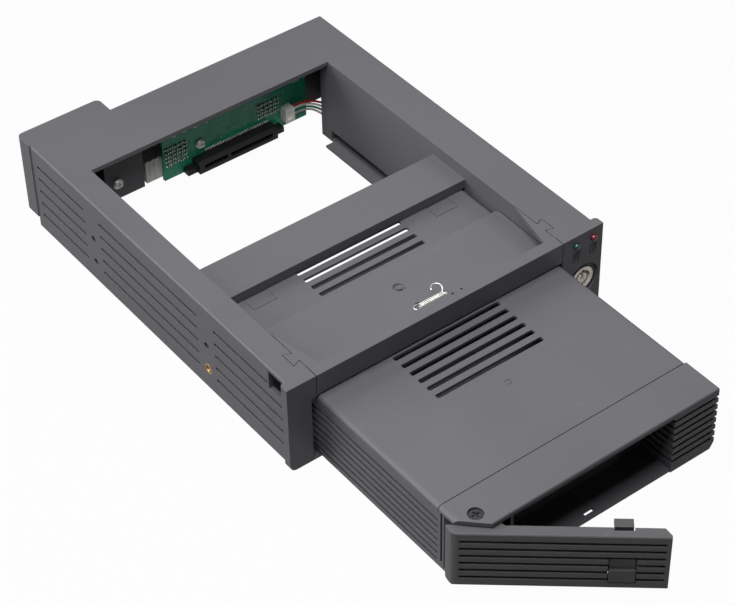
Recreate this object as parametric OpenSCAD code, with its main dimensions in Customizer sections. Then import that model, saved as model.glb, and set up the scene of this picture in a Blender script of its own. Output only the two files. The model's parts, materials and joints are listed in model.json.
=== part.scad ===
/* [Bay housing] */
// Width over the two mounting sides, which a full-height drive bay sets
body_w = 146; // [140:1:150]
// Length from the back of the bezel to the back of the rear wall
body_len = 175.2; // [168:0.2:190]
// Height of the housing
body_h = 41.4; // [40:0.2:44]
// Width of the left rail
left_rail_w = 11; // [9:0.5:14]
// Width of the right rail, which holds the lock and the lamps
right_rail_w = 18; // [17:0.5:20]
// Wall thickness of the housing
shell_t = 2; // [1.6:0.1:2.4]
// Rounding of the housing's long top edges
edge_r = 1; // [0.6:0.2:2.4]
// Thickness of the bezel
bezel_t = 4.4; // [3.6:0.2:6]
// Overhang of the bezel past each side of the housing
bezel_lip = 2.2; // [1:0.2:3]
// Rounding of the bezel's lower corners
bezel_corner_r = 3; // [1:0.5:4]
// Thickness of the ledges that the tray slides on
ledge_t = 0.95; // [0.8:0.05:1.2]
// Reach of each ledge under the tray
ledge_w = 4.5; // [3:0.5:6]
// Distance from the rear wall's back to the rear end of the ledges
ledge_back = 32; // [30:0.2:44]
// Distance from the bezel to the cross band
band_y = 54.8; // [45:0.2:60]
// Length of the cross band, front to back
band_len = 20.6; // [14:0.2:26]
// Depth of the cross band's top below the top of the housing
band_drop = 5.8; // [4:0.2:7]
// Distance from the rear wall's back to the rear edge of the big top opening
opening_back = 29; // [24:0.2:40]
// Distance from the rear wall's back to the rear ends of the inner walls
wall_back = 23.3; // [22:0.1:26]
// Height of the slot under the right inner wall
channel_h = 5.7; // [4:0.1:8]
// Length of the right inner wall's end that reaches the bottom
wall_foot_len = 6.9; // [4:0.1:10]

/* [Rear left corner] */
// Width of the corner that stands out at the rear left
lug_w = 38.5; // [30:0.5:44]
// Distance that the corner stands out
lug_len = 9.4; // [5:0.1:12]
// Height of the corner's underside above the bottom
lug_rise = 4.8; // [2:0.2:8]
// Distance that the corner's left face stands out past the side
lug_step = 0.5; // [0.3:0.1:0.9]
// Rounding of the corner's upright edges
lug_r = 2.5; // [1:0.5:4]

/* [Side faces] */
// Pitch of the grooves along the sides
groove_pitch = 6.2; // [5:0.1:6.6]
// Height of the lowest groove's middle above the bottom
groove_low_z = 8.2; // [6:0.1:9]
// Number of grooves in each side
groove_count = 5; // [3:1:5]
// Height of a groove
groove_h = 1.4; // [0.8:0.1:1.8]
// Depth of a groove
groove_d = 1.1; // [0.5:0.1:1.2]
// Distance from the bezel to the first pair of mounting holes
hole_y = 51.2; // [49:0.1:54]
// Spacing of the mounting holes along the housing
hole_pitch_y = 79.25; // [79:0.05:79.5]
// Height of the lower mounting holes
hole_z = 10; // [9.5:0.1:10.5]
// Spacing of the mounting holes in height
hole_pitch_z = 11.84; // [11.8:0.02:11.9]
// Radius of a mounting hole
hole_r = 1.5; // [1.3:0.05:1.6]
// Side of the square window at the front of the left side
window_s = 8.5; // [6:0.5:9]

/* [Bridge and flap] */
// Depth of the front bridge from its face to its back
bridge_len = 5.3; // [4.6:0.1:7]
// Length of each of the bridge's arms behind the bridge
arm_len = 22.6; // [16:0.2:28]
// Width of each arm where it leaves the bridge
arm_w = 5; // [3:0.5:6]
// Thickness of the dust flap
flap_t = 2; // [1.6:0.1:2.2]
// Distance from the bezel to the flap's rear edge
flap_end_y = 34.3; // [26:0.1:44]
// Radius of the flap's hinge pin
flap_pin_r = 0.6; // [0.5:0.05:0.8]
// Outer diameter of the flap's spring
spring_d = 3.3; // [3:0.1:3.8]
// Wire thickness of the flap's spring
spring_wire = 0.45; // [0.4:0.01:0.48]
// Distance from turn to turn of the flap's spring
spring_pitch = 0.9; // [0.9:0.01:1]
// Turns of the flap's spring
spring_turns = 13; // [8:1:14]

/* [Lock and lamps] */
// Distance of the lock's axis from the right mounting side
lock_in = 6.7; // [6.7:0.1:7.5]
// Height of the lock's axis
lock_z = 17.4; // [15:0.1:19]
// Radius of the lock's barrel
lock_r = 5.4; // [5:0.1:5.6]
// Radius of the dark recess round the lock
lock_recess_r = 7.5; // [6.8:0.1:7.7]
// Length of the lock's barrel
lock_len = 18; // [16:0.5:24]
// Reach of the lock's cam from the lock's axis
cam_reach = 12.8; // [12.6:0.05:13]
// Radius of a lamp's body
lamp_r = 1.45; // [1.2:0.05:1.5]

/* [Tray] */
// Length of the tray
tray_len = 163.2; // [150:0.2:164]
// Height of the tray
tray_h = 29.8; // [28.6:0.2:30.2]
// Distance that the tray is pulled out of its home position
tray_out = 86.8; // [60:0.2:100]
// Thickness of the tray's side walls
tray_wall = 3; // [2.6:0.1:3.6]
// Thickness of the tray's floor
tray_floor = 1.2; // [1:0.1:1.5]
// Length of the tray's fixed front section
tray_nose = 17.6; // [16.6:0.1:20]
// Thickness of the front section's top plate
nose_top = 2; // [2:0.1:2.4]
// Thickness of the sliding cover
cover_t = 1.2; // [1:0.1:1.8]
// Width of the grooved post at the front right
post_w = 21.5; // [16:0.5:26]
// Length of a cover slot
slot_len = 50.3; // [30:0.1:60]
// Width of a cover slot
slot_w = 2.2; // [1.4:0.1:2.4]
// Pitch of the cover slots
slot_pitch = 5; // [4:0.1:6]

/* [Handle] */
// Angle from the closed handle to the handle as it stands
handle_angle = 39.7; // [0:0.1:60]
// Distance from the handle's pivot to the handle's free end
handle_reach = 66.8; // [56:0.1:72]
// Height of the handle
handle_h = 26.1; // [22:0.1:26.2]
// Thickness of the handle's plate
handle_t = 4.5; // [4:0.1:4.6]
// Distance from the pivot to the handle's front face
handle_front = 7.6; // [6.5:0.1:7.8]
// Distance from the tray's left side to the handle's pivot
pivot_in = 8.1; // [8:0.1:9.5]
// Distance from the tray's front to the handle's pivot
pivot_back = 7.2; // [6.2:0.1:7.4]
// Radius of the pivot screw's shank
pivot_r = 1.5; // [1.2:0.1:2]
// Width of the latch button
latch_w = 9.2; // [7.4:0.1:11]
// Distance from the pivot to the middle of the latch button
latch_at = 50.6; // [40:0.1:52]

/* [Circuit board] */
// Width of the circuit board
board_w = 73.6; // [66:0.1:74]
// Height of the circuit board
board_h = 27; // [22:0.5:31]
// Thickness of the circuit board
board_t = 1.6; // [1.2:0.1:2]
// Distance from the rear wall's back to the board's front face
board_back = 12.9; // [12.6:0.1:13.6]
// Distance of the board's right edge from the right mounting side
board_in = 18.8; // [18.4:0.1:22]

/* [Hidden] */
// Overrun of every cut past the face that it opens
over = 1;
// Fineness of a round face
$fn = 64;

// Clearances
side_gap = 0.5;
under_gap = 0.25;
over_gap = 0.3;
joint_gap = 0.1;
seam_gap = 0.3;
run_gap = 0.05;
swing_gap = 0.3;

// Colours of the plastics and metals
black_abs = [0.21, 0.21, 0.22];
dark_abs = [0.17, 0.17, 0.18];
inner_abs = [0.12, 0.12, 0.13];
steel = [0.75, 0.75, 0.76];
nickel = [0.85, 0.83, 0.78];
brass_tone = [0.8, 0.6, 0.3];
board_green = [0.03, 0.4, 0.25];
nylon_white = [0.85, 0.84, 0.8];
gold_tone = [0.85, 0.7, 0.35];

// Faces of the housing
right_x = body_w / 2;
left_x = -right_x;
bay_x0 = left_x + left_rail_w;
bay_x1 = right_x - right_rail_w;
bay_w = bay_x1 - bay_x0;
front_y = -bezel_t;
skin_z = body_h - shell_t;
band_z = body_h - band_drop;
opening_y0 = band_y + band_len;
opening_y1 = body_len - opening_back;
inner_wall_y = body_len - wall_back;
ledge_y = body_len - ledge_back;
board_y = body_len - board_back;
rear_in_y = body_len - shell_t;
bridge_back_y = front_y + bridge_len;

// Faces of the tray
tray_x0 = bay_x0 + side_gap;
tray_x1 = bay_x1 - side_gap;
tray_w = tray_x1 - tray_x0;
tray_z0 = ledge_t + under_gap;
tray_z1 = tray_z0 + tray_h;
floor_z = tray_z0 + tray_floor;
tray_y0 = front_y - tray_out;
tray_y1 = tray_y0 + tray_len;
nose_y = tray_y0 + tray_nose;
nose_z = tray_z1 - nose_top;
cover_z = tray_z1 - cover_t;
flange_w = 2.6;
flange_h = 2.6;
flange_z = tray_z1 - flange_h;
wall_top = flange_z - joint_gap;
top_r = 1.9;
post_x = tray_x1 - post_w;
clear_z = tray_z1 + over_gap;

// Heights of the fine grooves in the tray and the handle
fine_low_z = 6.7;
fine_pitch = 3.38;
fine_count = 6;
fine_h = 1.4;
fine_d = 1;
fine_bevel = 0.4;

// Outline of a rectangle with its upper left corner rounded
module left_rounded(x0, x1, z0, z1, r) {
    translate([x0, z0]) square([x1 - x0, z1 - z0 - r]);
    translate([x0 + r, z0]) square([x1 - x0 - r, z1 - z0]);
    intersection() {
        translate([x0, z0]) square([x1 - x0, z1 - z0]);
        translate([x0 + r, z1 - r]) circle(r);
    }
}

// Box from two corners
module block(low, high) {
    translate(low) cube(high - low);
}

// Cylinder along Y from y0 to y1
module rod_y(x, y0, y1, z, r) {
    translate([x, y1, z]) rotate([90, 0, 0]) cylinder(h = y1 - y0, r = r);
}

// Cylinder along X from x0 to x1
module rod_x(x0, x1, y, z, r) {
    translate([x0, y, z]) rotate([0, 90, 0]) cylinder(h = x1 - x0, r = r);
}

// Cylinder along Z from z0 to z1
module rod_z(x, y, z0, z1, r) {
    translate([x, y, z0]) cylinder(h = z1 - z0, r = r);
}

// Prism along Y whose outline lies in X and Z
module prism_y(y0, y1) {
    translate([0, y1, 0]) rotate([90, 0, 0]) linear_extrude(y1 - y0) children();
}

// Prism along X whose outline lies in Y and Z
module prism_x(x0, x1) {
    translate([x0, 0, 0]) rotate([90, 0, 90]) linear_extrude(x1 - x0) children();
}

// Outline of a rectangle with its two upper corners rounded
module top_rounded(x0, x1, z0, z1, r) {
    translate([x0, z0]) square([x1 - x0, z1 - z0 - r]);
    translate([x0 + r, z0]) square([x1 - x0 - 2 * r, z1 - z0]);
    intersection() {
        translate([x0, z0]) square([x1 - x0, z1 - z0]);
        for (x = [x0 + r, x1 - r]) translate([x, z1 - r]) circle(r);
    }
}

// Outline of a rectangle with all four corners rounded
module all_rounded(x0, x1, y0, y1, r) {
    translate([x0, y0 + r]) square([x1 - x0, y1 - y0 - 2 * r]);
    translate([x0 + r, y0]) square([x1 - x0 - 2 * r, y1 - y0]);
    for (x = [x0 + r, x1 - r], y = [y0 + r, y1 - r]) translate([x, y]) circle(r);
}

// Cross recess and the two blades that cut it, seen along +Z
cross_share = 0.62;
blade_share = 0.16;
rim_share = 0.55;
dome_share = 0.72;
recess_share = 0.4;
module cross_recess(head_r, depth) {
    for (turn = [0, 90]) rotate([0, 0, turn])
        translate([-cross_share * head_r, -blade_share * head_r, 0])
            cube([2 * cross_share * head_r, 2 * blade_share * head_r, depth]);
}

// Pan screw standing on its head's underside at z = 0, shank down along -Z
module pan_screw(head_r, head_h, shank_r, shank_len) {
    difference() {
        union() {
            cylinder(h = head_h * rim_share, r = head_r);
            translate([0, 0, head_h * rim_share])
                cylinder(h = head_h * (1 - rim_share), r1 = head_r, r2 = head_r * dome_share);
            translate([0, 0, -shank_len]) cylinder(h = shank_len, r = shank_r);
        }
        translate([0, 0, head_h * recess_share]) cross_recess(head_r, head_h);
    }
}

// Bay frame

// Lock, lamp and flap places that the frame's cuts follow
lock_x = right_x - lock_in;
lock_recess_d = 1.4;
lamp_green_in = 6.7;
lamp_red_in = 2.6;
lamp_drop = 4.7;
lamp_green_x = bay_x1 + lamp_green_in;
lamp_red_x = right_x - lamp_red_in;
lamp_z = body_h - lamp_drop;
flap_barrel_r = flap_t / 2 + flap_pin_r;
flap_pin_y = bridge_back_y + joint_gap + over_gap + flap_barrel_r;
flap_pin_z = clear_z + flap_barrel_r;
cam_y = front_y + lock_recess_d + lock_len + swing_gap;
cam_t = 1.5;
cam_w = 7;
boss_r = 3.2;
boss_depth = 7;
insert_r = 2.4;
insert_len = 5.5;

// Rear chamber and what stands in it
panel_back = 15;
panel_t = 1.6;
panel_z0 = 8.5;
panel_port_gap = 3.2;
panel_y = body_len - panel_back;
corner_screw_in = 29.8;
corner_screw_x = left_x + corner_screw_in;
corner_screw_z = 16.5;
panel_window_in = 16;
panel_window_x = left_x + panel_window_in;
panel_window_w = 8;
panel_window_z = 19;
panel_window_h = 16;
board_x1 = right_x - board_in;
board_x0 = board_x1 - board_w;
board_z0 = 4.4;
board_back_y = board_y + board_t;
board_screw_r = 1.3;
board_screw_head_r = 2.3;
board_screw_in = 18.4;
board_screw_up = 11.2;
far_screw_in = 5.5;
far_screw_down = 4;
board_screw_at = [[board_x0 + board_screw_in, board_z0 + board_screw_up],
    [board_x1 - far_screw_in, board_z0 + board_h - far_screw_down]];

// Ports behind the board
power_w = 22;
power_h = 10.6;
power_in = 45.8;
power_x0 = left_x + power_in;
power_z0 = 6;
panel_x1 = power_x0 - panel_port_gap;
data_w = 15.6;
data_h = 6.2;
data_beside = 20.9;
data_x0 = power_x0 + power_w + data_beside;
data_z0 = 8.2;
port_gap = 0.4;

module frame_outer() {
    prism_y(0, body_len) top_rounded(left_x, right_x, 0, body_h, edge_r);
    // Corner that stands out at the rear left
    difference() {
        translate([0, 0, lug_rise]) linear_extrude(body_h - lug_rise)
            all_rounded(left_x - lug_step, left_x + lug_w, body_len - 4 * lug_r, body_len + lug_len, lug_r);
        block([left_x - lug_step - over, body_len - 5 * lug_r, lug_rise - over],
            [left_x + lug_w + over, body_len - joint_gap, body_h + over]);
    }
    // Bezel with rounded lower corners and a bevel behind each side
    difference() {
        prism_y(front_y, 0) rotate([180, 0, 0])
            top_rounded(left_x - bezel_lip, right_x + bezel_lip, -body_h, 0, bezel_corner_r);
        for (side = [[left_x - bezel_lip, 1], [right_x + bezel_lip, -1]])
            translate([0, 0, -over]) linear_extrude(body_h + 2 * over)
                polygon([[side[0] - side[1] * over, -lip_bevel], [side[0], -lip_bevel],
                    [side[0] + side[1] * lip_bevel, 0],
                    [side[0] + side[1] * lip_bevel, over], [side[0] - side[1] * over, over]]);
    }
}

// Bevel behind the bezel's overhang
lip_bevel = 1;

module frame_hollows() {
    // Way of the tray, open above as far as the rear skin
    block([bay_x0, front_y - over, ledge_t], [bay_x1, opening_y1, body_h + over]);
    block([bay_x0 + ledge_w, bottom_tie_y, -over], [bay_x1 - ledge_w, rear_in_y, body_h - shell_t]);
    block([bay_x0, opening_y1 - over, ledge_t], [bay_x1, inner_wall_y + over, skin_z]);
    // Left rail, open below
    block([left_x + shell_t, 0, -over], [bay_x0 - shell_t, inner_wall_y + over, skin_z]);
    // Right rail, closed below by the ledge's plate
    block([bay_x1 + shell_t, 0, ledge_t], [right_x - shell_t, inner_wall_y + over, skin_z]);
    block([bay_x1 - over, 0, ledge_t], [bay_x1 + shell_t + over, inner_wall_y - wall_foot_len, channel_h]);
    // Rear chamber, open below
    block([left_x + shell_t, inner_wall_y, -over], [right_x - shell_t, rear_in_y, skin_z]);
    block([bay_x0 - over, ledge_y, -over], [bay_x1, inner_wall_y + over, ledge_t + over]);
    block([left_x + shell_t, rear_in_y - over, lug_rise + shell_t],
        [left_x + lug_w - shell_t, body_len + lug_len - shell_t, skin_z]);
}

// Front part of the bottom that ties the two rails under the tray
bottom_tie_y = 12;

// Parts of the cross band's lip that its rear edge leaves out
lip_share = 1 / 3;

module cross_band() {
    lip_h = band_z - clear_z;
    block([bay_x0, band_y, band_z - shell_t], [bay_x1, opening_y0, band_z]);
    block([bay_x0, band_y, clear_z], [bay_x1, band_y + shell_t, band_z]);
    block([bay_x0, opening_y0 - shell_t, clear_z + lip_h * lip_share], [bay_x1, opening_y0, band_z]);
}

// Slanted webs that lead from the cross band up to the rails
web_run = 5.3;
module band_webs() {
    for (x = [bay_x0 - shell_t, bay_x1])
        prism_x(x, x + shell_t)
            polygon([[opening_y0 - web_run - over, body_h - over], [opening_y0, band_z],
                [opening_y0, band_z - over],
                [opening_y0 - web_run - over, band_z - over]]);
}

// One side's grooves in their three groups, at x, cut groove_d deep
groove_gap = 5.6;
groove_front_y = 0.8;
module side_grooves(x) {
    groups = [[groove_front_y, hole_y - groove_gap],
        [hole_y + groove_gap, hole_y + hole_pitch_y - groove_gap],
        [hole_y + hole_pitch_y + groove_gap, body_len - 2 * shell_t]];
    for (group = groups, i = [0:groove_count - 1]) {
        top_front = i == groove_count - 1 && group[0] == groove_front_y && x < 0;
        y0 = top_front ? window_y + window_s + groove_front_y : group[0];
        block([x - groove_d, y0, groove_low_z + i * groove_pitch - groove_h / 2],
            [x + groove_d, group[1], groove_low_z + i * groove_pitch + groove_h / 2]);
    }
}

window_y = 1.5;
window_top = 1.8;

// Points of the mounting holes in Y and Z
mount_points = [for (y = [hole_y, hole_y + hole_pitch_y], z = [hole_z, hole_z + hole_pitch_z]) [y, z]];

module mount_bosses() {
    for (p = mount_points) {
        rod_x(left_x + shell_t - joint_gap, bay_x0 - shell_t + joint_gap, p[0], p[1], boss_r);
        rod_x(right_x - shell_t - boss_depth, right_x - shell_t + joint_gap, p[0], p[1], boss_r);
    }
}

module mount_holes() {
    for (p = mount_points) {
        rod_x(left_x - over, left_x + boss_depth, p[0], p[1], hole_r);
        rod_x(right_x - boss_depth, right_x + over, p[0], p[1], hole_r);
    }
    rod_x(left_x - over, left_x + insert_len, hole_y, hole_z, insert_r);
    rod_x(right_x - insert_len, right_x + over, hole_y, hole_z, insert_r);
}

// Outline of the arrow that keys the bridge into the frame, tip at u = depth
arrow_root_share = 0.64;
arrow_w = 7.1;
arrow_d = 3;
arrow_y = 8.4;
key_t = 1.2;
module arrow_outline(grow) {
    root = arrow_w * arrow_root_share / 2 + grow;
    tip = arrow_w / 2 + grow;
    polygon([[-grow - over, arrow_y - root], [0, arrow_y - root], [arrow_d + grow, arrow_y - tip],
        [arrow_d + grow, arrow_y + tip], [0, arrow_y + root], [-grow - over, arrow_y + root]]);
}

// Places the key's outline at both ends of the bridge
module both_arrows(grow) {
    translate([bay_x1, 0]) arrow_outline(grow);
    translate([bay_x0, 0]) mirror([1, 0]) arrow_outline(grow);
}

module key_pockets() {
    translate([0, 0, body_h - key_t - run_gap]) linear_extrude(key_t + over) both_arrows(seam_gap);
}

// Fine tick marks under the lamps
tick_w = 0.6;
tick_d = 0.3;
tick_z = 28.2;
tick_h = 5.4;
module lamp_ticks() {
    for (x = [lamp_green_x, lamp_red_x]) for (dx = [-2 * tick_w, 0, 2 * tick_w])
        block([x + dx - tick_w / 2, front_y - over, tick_z],
            [x + dx + tick_w / 2, front_y + tick_d, tick_z + tick_h]);
}

module lock_cuts() {
    rod_y(lock_x, front_y - over, front_y + lock_recess_d, lock_z, lock_recess_r);
    rod_y(lock_x, front_y, cam_y - swing_gap, lock_z, lock_r + run_gap);
    // Slot in the inner wall that the cam swings through
    block([bay_x1 - over, cam_y - swing_gap, lock_z - cam_w / 2 - swing_gap],
        [bay_x1 + shell_t + over, cam_y + cam_t + swing_gap, lock_z + cam_reach]);
    // Relief in the outer wall beside the cam
    rod_y(lock_x, cam_y - swing_gap, cam_y + cam_t + 3 * swing_gap, lock_z, lock_r + swing_gap);
}

module lamp_holes() {
    for (x = [lamp_green_x, lamp_red_x]) {
        rod_y(x, front_y - over, over, lamp_z, lamp_r + run_gap);
        rod_y(x, 0, lamp_foot_len + 4 * lamp_r, lamp_z, lamp_foot_r + joint_gap);
    }
}

module rear_fittings() {
    // Panel in the rear left pocket, with its dark window
    difference() {
        block([left_x + shell_t - joint_gap, panel_y, panel_z0],
            [panel_x1, panel_y + panel_t, skin_z + joint_gap]);
        block([panel_window_x, panel_y - over, panel_window_z],
            [panel_window_x + panel_window_w, panel_y + panel_t + over, panel_window_z + panel_window_h]);
    }
    // Block behind the corner screw
    block([corner_screw_x - boss_r, panel_y, corner_screw_z - boss_r],
        [corner_screw_x + boss_r, rear_in_y + joint_gap, corner_screw_z + boss_r]);
    // Posts that carry the circuit board
    for (p = board_screw_at) rod_y(p[0], board_back_y, rear_in_y + joint_gap, p[1], boss_r - swing_gap);
}

module rear_cuts() {
    rod_y(corner_screw_x, panel_y - over, panel_y + corner_screw_len, corner_screw_z, corner_screw_r);
    for (p = board_screw_at) rod_y(p[0], board_back_y - over, board_back_y + board_screw_len, p[1],
        board_screw_r);
    block([power_x0 - port_gap, rear_in_y - over, power_z0 - port_gap],
        [power_x0 + power_w + port_gap, body_len + over, power_z0 + power_h + port_gap]);
    block([data_x0 - port_gap, rear_in_y - over, data_z0 - port_gap],
        [data_x0 + data_w + port_gap, body_len + over, data_z0 + data_h + port_gap]);
}

module bay_frame() {
    color(black_abs) difference() {
        union() {
            difference() {
                frame_outer();
                frame_hollows();
            }
            cross_band();
            mount_bosses();
            rear_fittings();
            band_webs();
        }
        bridge_space();
        key_pockets();
        side_grooves(left_x);
        side_grooves(right_x);
        mount_holes();
        lamp_ticks();
        lock_cuts();
        lamp_holes();
        rear_cuts();
        handle_way();
        block([left_x - over, window_y, skin_z + shell_t - window_top - window_s],
            [left_x + shell_t + over, window_y + window_s, skin_z + shell_t - window_top]);
        rod_x(bay_x0 - flap_pin_hold, bay_x1 + flap_pin_hold, flap_pin_y, flap_pin_z, flap_pin_r + run_gap);
    }
}

// Notch in the bezel and window in the left inner wall that the handle's end passes
notch_w = 2.5;
way_len = 7.6;
module handle_way() {
    block([bay_x0 - notch_w, front_y - over, ledge_t + joint_gap], [bay_x0 + over, way_len, clear_z]);
}

// Depth that the flap's pin enters each inner wall
flap_pin_hold = 1.4;

// Keeps the frame clear of the bridge's ends
module bridge_space() {
    block([bay_x0 - joint_gap, front_y - over, clear_z], [bay_x1 + joint_gap, 0, body_h + over]);
}

// Front bridge
bridge_dots = [[-1, 1.1], [3.2, 1.1]];
dot_r = 0.5;
post_ear_t = 1;
post_gap = 0.8;
spring_behind = 5;
spring_drop = 5.4;
spring_y = bridge_back_y + spring_behind;
spring_z = body_h - spring_drop;
post_r = 0.85;
ear_r = 1.2;
spring_len = spring_turns * spring_pitch;
spring_x0 = -6.5;
spring_x1 = spring_x0 + spring_len;
post_x1 = spring_x1 + post_gap + post_ear_t;
post_x0 = spring_x0 - post_gap - post_ear_t;

module bridge_plan() {
    translate([bay_x0 + seam_gap, front_y]) square([bay_w - 2 * seam_gap, bridge_len]);
    for (side = [[bay_x0 + seam_gap, 1], [bay_x1 - seam_gap, -1]])
        polygon([[side[0], bridge_back_y - over], [side[0] + side[1] * arm_w, bridge_back_y - over],
            [side[0] + side[1] * arm_w, bridge_back_y],
                [side[0] + side[1] * joint_gap, bridge_back_y + arm_len],
            [side[0], bridge_back_y + arm_len]]);
}

// Ears behind the bridge that hold the spring's post
module post_ears() {
    for (x = [post_x0, post_x1 - post_ear_t]) {
        rod_x(x, x + post_ear_t, spring_y, spring_z, ear_r);
        block([x, bridge_back_y - joint_gap, spring_z - ear_r],
            [x + post_ear_t, spring_y, spring_z + ear_r]);
    }
}

module front_bridge() {
    color(black_abs) difference() {
        union() {
            difference() {
                translate([0, 0, clear_z]) linear_extrude(body_h - clear_z) bridge_plan();
                // The arms are only as thick as the top skin
                block([bay_x0 - over, bridge_back_y, clear_z - over],
                    [bay_x1 + over, bridge_back_y + arm_len + over, skin_z]);
            }
            intersection() {
                translate([0, 0, body_h - key_t]) linear_extrude(key_t) both_arrows(0);
                union() {
                    block([left_x, 0, 0], [bay_x0 + 2 * seam_gap, body_len, body_h]);
                    block([bay_x1 - 2 * seam_gap, 0, 0], [right_x, body_len, body_h]);
                }
            }
            post_ears();
        }
        rod_x(post_x0 - over, post_x1 + over, spring_y, spring_z, post_r);
        for (d = bridge_dots) rod_z(spring_x1 + d[0], bridge_back_y - d[1], body_h - 2 * dot_r,
            body_h + over, dot_r);
        // Chamfer along the lower front edge
        prism_x(bay_x0 - over, bay_x1 + over)
            polygon([[front_y - over, clear_z - over], [front_y + joint_gap + fine_d, clear_z - over],
                [front_y - over, clear_z + joint_gap + fine_d + over]]);
    }
}

// Steel post that carries the flap's spring
module spring_post() {
    color(steel) rod_x(post_x0, post_x1, spring_y, spring_z, post_r);
}

// Dust flap
flap_pocket_r = 2.3;
flap_pocket_d = 1;
flap_pocket_at = [2.4, 3];
flap_dish_r = 2.6;
flap_dish_d = 0.8;
flap_dish_at = [-3.7, 22.1];
dish_share = 0.8;
dish_knob_share = 0.45;
flap_side_gap = 0.4;
flap_corner = 1.2;

module dust_flap() {
    x0 = bay_x0 + flap_side_gap;
    x1 = bay_x1 - flap_side_gap;
    color(black_abs) difference() {
        union() {
            block([x0, flap_pin_y, clear_z], [x1, flap_end_y, clear_z + flap_t]);
            rod_x(x0, x1, flap_pin_y, flap_pin_z, flap_barrel_r);
        }
        rod_x(x0 - over, x1 + over, flap_pin_y, flap_pin_z, flap_pin_r + run_gap);
        difference() {
            translate([flap_dish_at[0], flap_dish_at[1], clear_z + flap_t - flap_dish_d])
                cylinder(h = flap_dish_d + joint_gap, r1 = flap_dish_r * dish_share, r2 = flap_dish_r);
            rod_z(flap_dish_at[0], flap_dish_at[1], clear_z, clear_z + flap_t,
                flap_dish_r * dish_knob_share);
        }
        rod_z(spring_x0 + flap_pocket_at[0], spring_y + flap_pocket_at[1], clear_z + flap_t - flap_pocket_d,
            clear_z + flap_t + over, flap_pocket_r);
        // Clipped rear corners
        for (side = [[x0, 1], [x1, -1]])
            translate([0, 0, clear_z - over]) linear_extrude(flap_t + 2 * over)
                polygon([[side[0] - side[1] * over, flap_end_y - flap_corner],
                    [side[0], flap_end_y - flap_corner],
                    [side[0] + side[1] * flap_corner, flap_end_y],
                        [side[0] + side[1] * flap_corner, flap_end_y + over],
                    [side[0] - side[1] * over, flap_end_y + over]]);
    }
}

module flap_hinge_pin() {
    color(steel) rod_x(bay_x0 - flap_pin_hold + joint_gap, bay_x1 + flap_pin_hold - joint_gap, flap_pin_y,
        flap_pin_z, flap_pin_r);
}

// Tube swept along points

function unit(v) = v / norm(v);
function tangent(p, i) = unit(p[min(i + 1, len(p) - 1)] - p[max(i - 1, 0)]);
// A frame is carried along the path so that the rings don't twist
function carried(p, i, side) = let (t = tangent(p, i)) unit(side - (side * t) * t);
function frames(p, i, side) = i == len(p) ? [] :
    let (s = carried(p, i, side)) concat([s], frames(p, i + 1, s));
function ring(c, t, s, r, n) = let (b = cross(t, s))
    [for (k = [0:n - 1]) c + r * (cos(360 * k / n) * s + sin(360 * k / n) * b)];

module tube(p, r, n, side) {
    f = frames(p, 0, side);
    points = [for (i = [0:len(p) - 1]) each ring(p[i], tangent(p, i), f[i], r, n)];
    last = (len(p) - 1) * n;
    walls = [for (i = [0:len(p) - 2], k = [0:n - 1]) let (a = i * n + k, b = i * n + (k + 1) % n)
        each [[a, b, b + n], [a, b + n, a + n]]];
    caps = [for (k = [1:n - 2]) each [[0, k + 1, k], [last, last + k, last + k + 1]]];
    polyhedron(points = points, faces = [for (face = concat(walls, caps)) [face[2], face[1], face[0]]]);
}

// Wire of the flap's spring: a small loop, the coil, and a big curved hook
coil_r = (spring_d - spring_wire) / 2;
coil_rings = 8;
coil_sides = 6;
loop_points = [[-1.2, -1.75, 1.7], [-2.2, -2.1, 1.7], [-3.1, -1.6, 1.7], [-3.3, -0.6, 1.7],
    [-2.7, 0.3, 1.7],
    [-1.7, 0.5, 1.7], [-0.8, 0.9, 1.4]];
hook_points = [[0.5, 1.8, 0.8], [1.1, 3, 1.5], [1, 4.3, 1.7], [0.3, 5.3, 1.8], [-0.8, 5.8, 1.8],
    [-2, 5.5, 1.7],
    [-2.8, 4.7, 1.5], [-3.2, 3.8, 1.2]];
spring_path = concat([for (p = loop_points) [spring_x0, spring_y, spring_z] + p],
    [for (i = [0:spring_turns * coil_rings]) let (a = 360 * i / coil_rings)
        [spring_x0 + spring_pitch * i / coil_rings, spring_y + coil_r * cos(a),
            spring_z + coil_r * sin(a)]],
    [for (p = hook_points) [spring_x1, spring_y, spring_z] + p]);

// Least gap between stretches of the wire that are a good part of a turn apart
function least_gap(p, apart, wire) = min([for (i = [0:len(p) - 1 - apart]) for (k = [i + apart:len(p) - 1])
    norm(p[i] - p[k])]) - wire;
echo(spring_least_gap = least_gap(spring_path, coil_rings - 2, spring_wire));

module flap_spring() {
    color(nickel) tube(spring_path, spring_wire / 2, coil_sides, [0, 0, 1]);
}

// Lock

keyway_in = 2.4;
keyway_out = 3.9;
keyway_len = 5;
barrel_sunk = 0.4;
plug_sunk = 0.3;
clip_down = 2;
clip_up = 3;
barrel_face_y = front_y + barrel_sunk;
barrel_end_y = cam_y - swing_gap;
clip_y = joint_gap;
clip_t = 1;
clip_neck = 0.9;

module lock_barrel() {
    color(nickel) difference() {
        rod_y(lock_x, barrel_face_y, barrel_end_y, lock_z, lock_r);
        rod_y(lock_x, barrel_face_y - over, barrel_end_y + over, lock_z, keyway_out);
        // Neck that the clip sits in
        difference() {
            rod_y(lock_x, clip_y - joint_gap, clip_y + clip_t + joint_gap, lock_z, lock_r + over);
            rod_y(lock_x, clip_y - over, clip_y + clip_t + over, lock_z, lock_r - clip_neck);
        }
        // Pip that the key finds
        block([lock_x - tick_w, barrel_face_y - over, lock_z + keyway_out - tick_w],
            [lock_x + tick_w, barrel_face_y + keyway_len, lock_z + keyway_out + tick_w]);
    }
}

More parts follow.
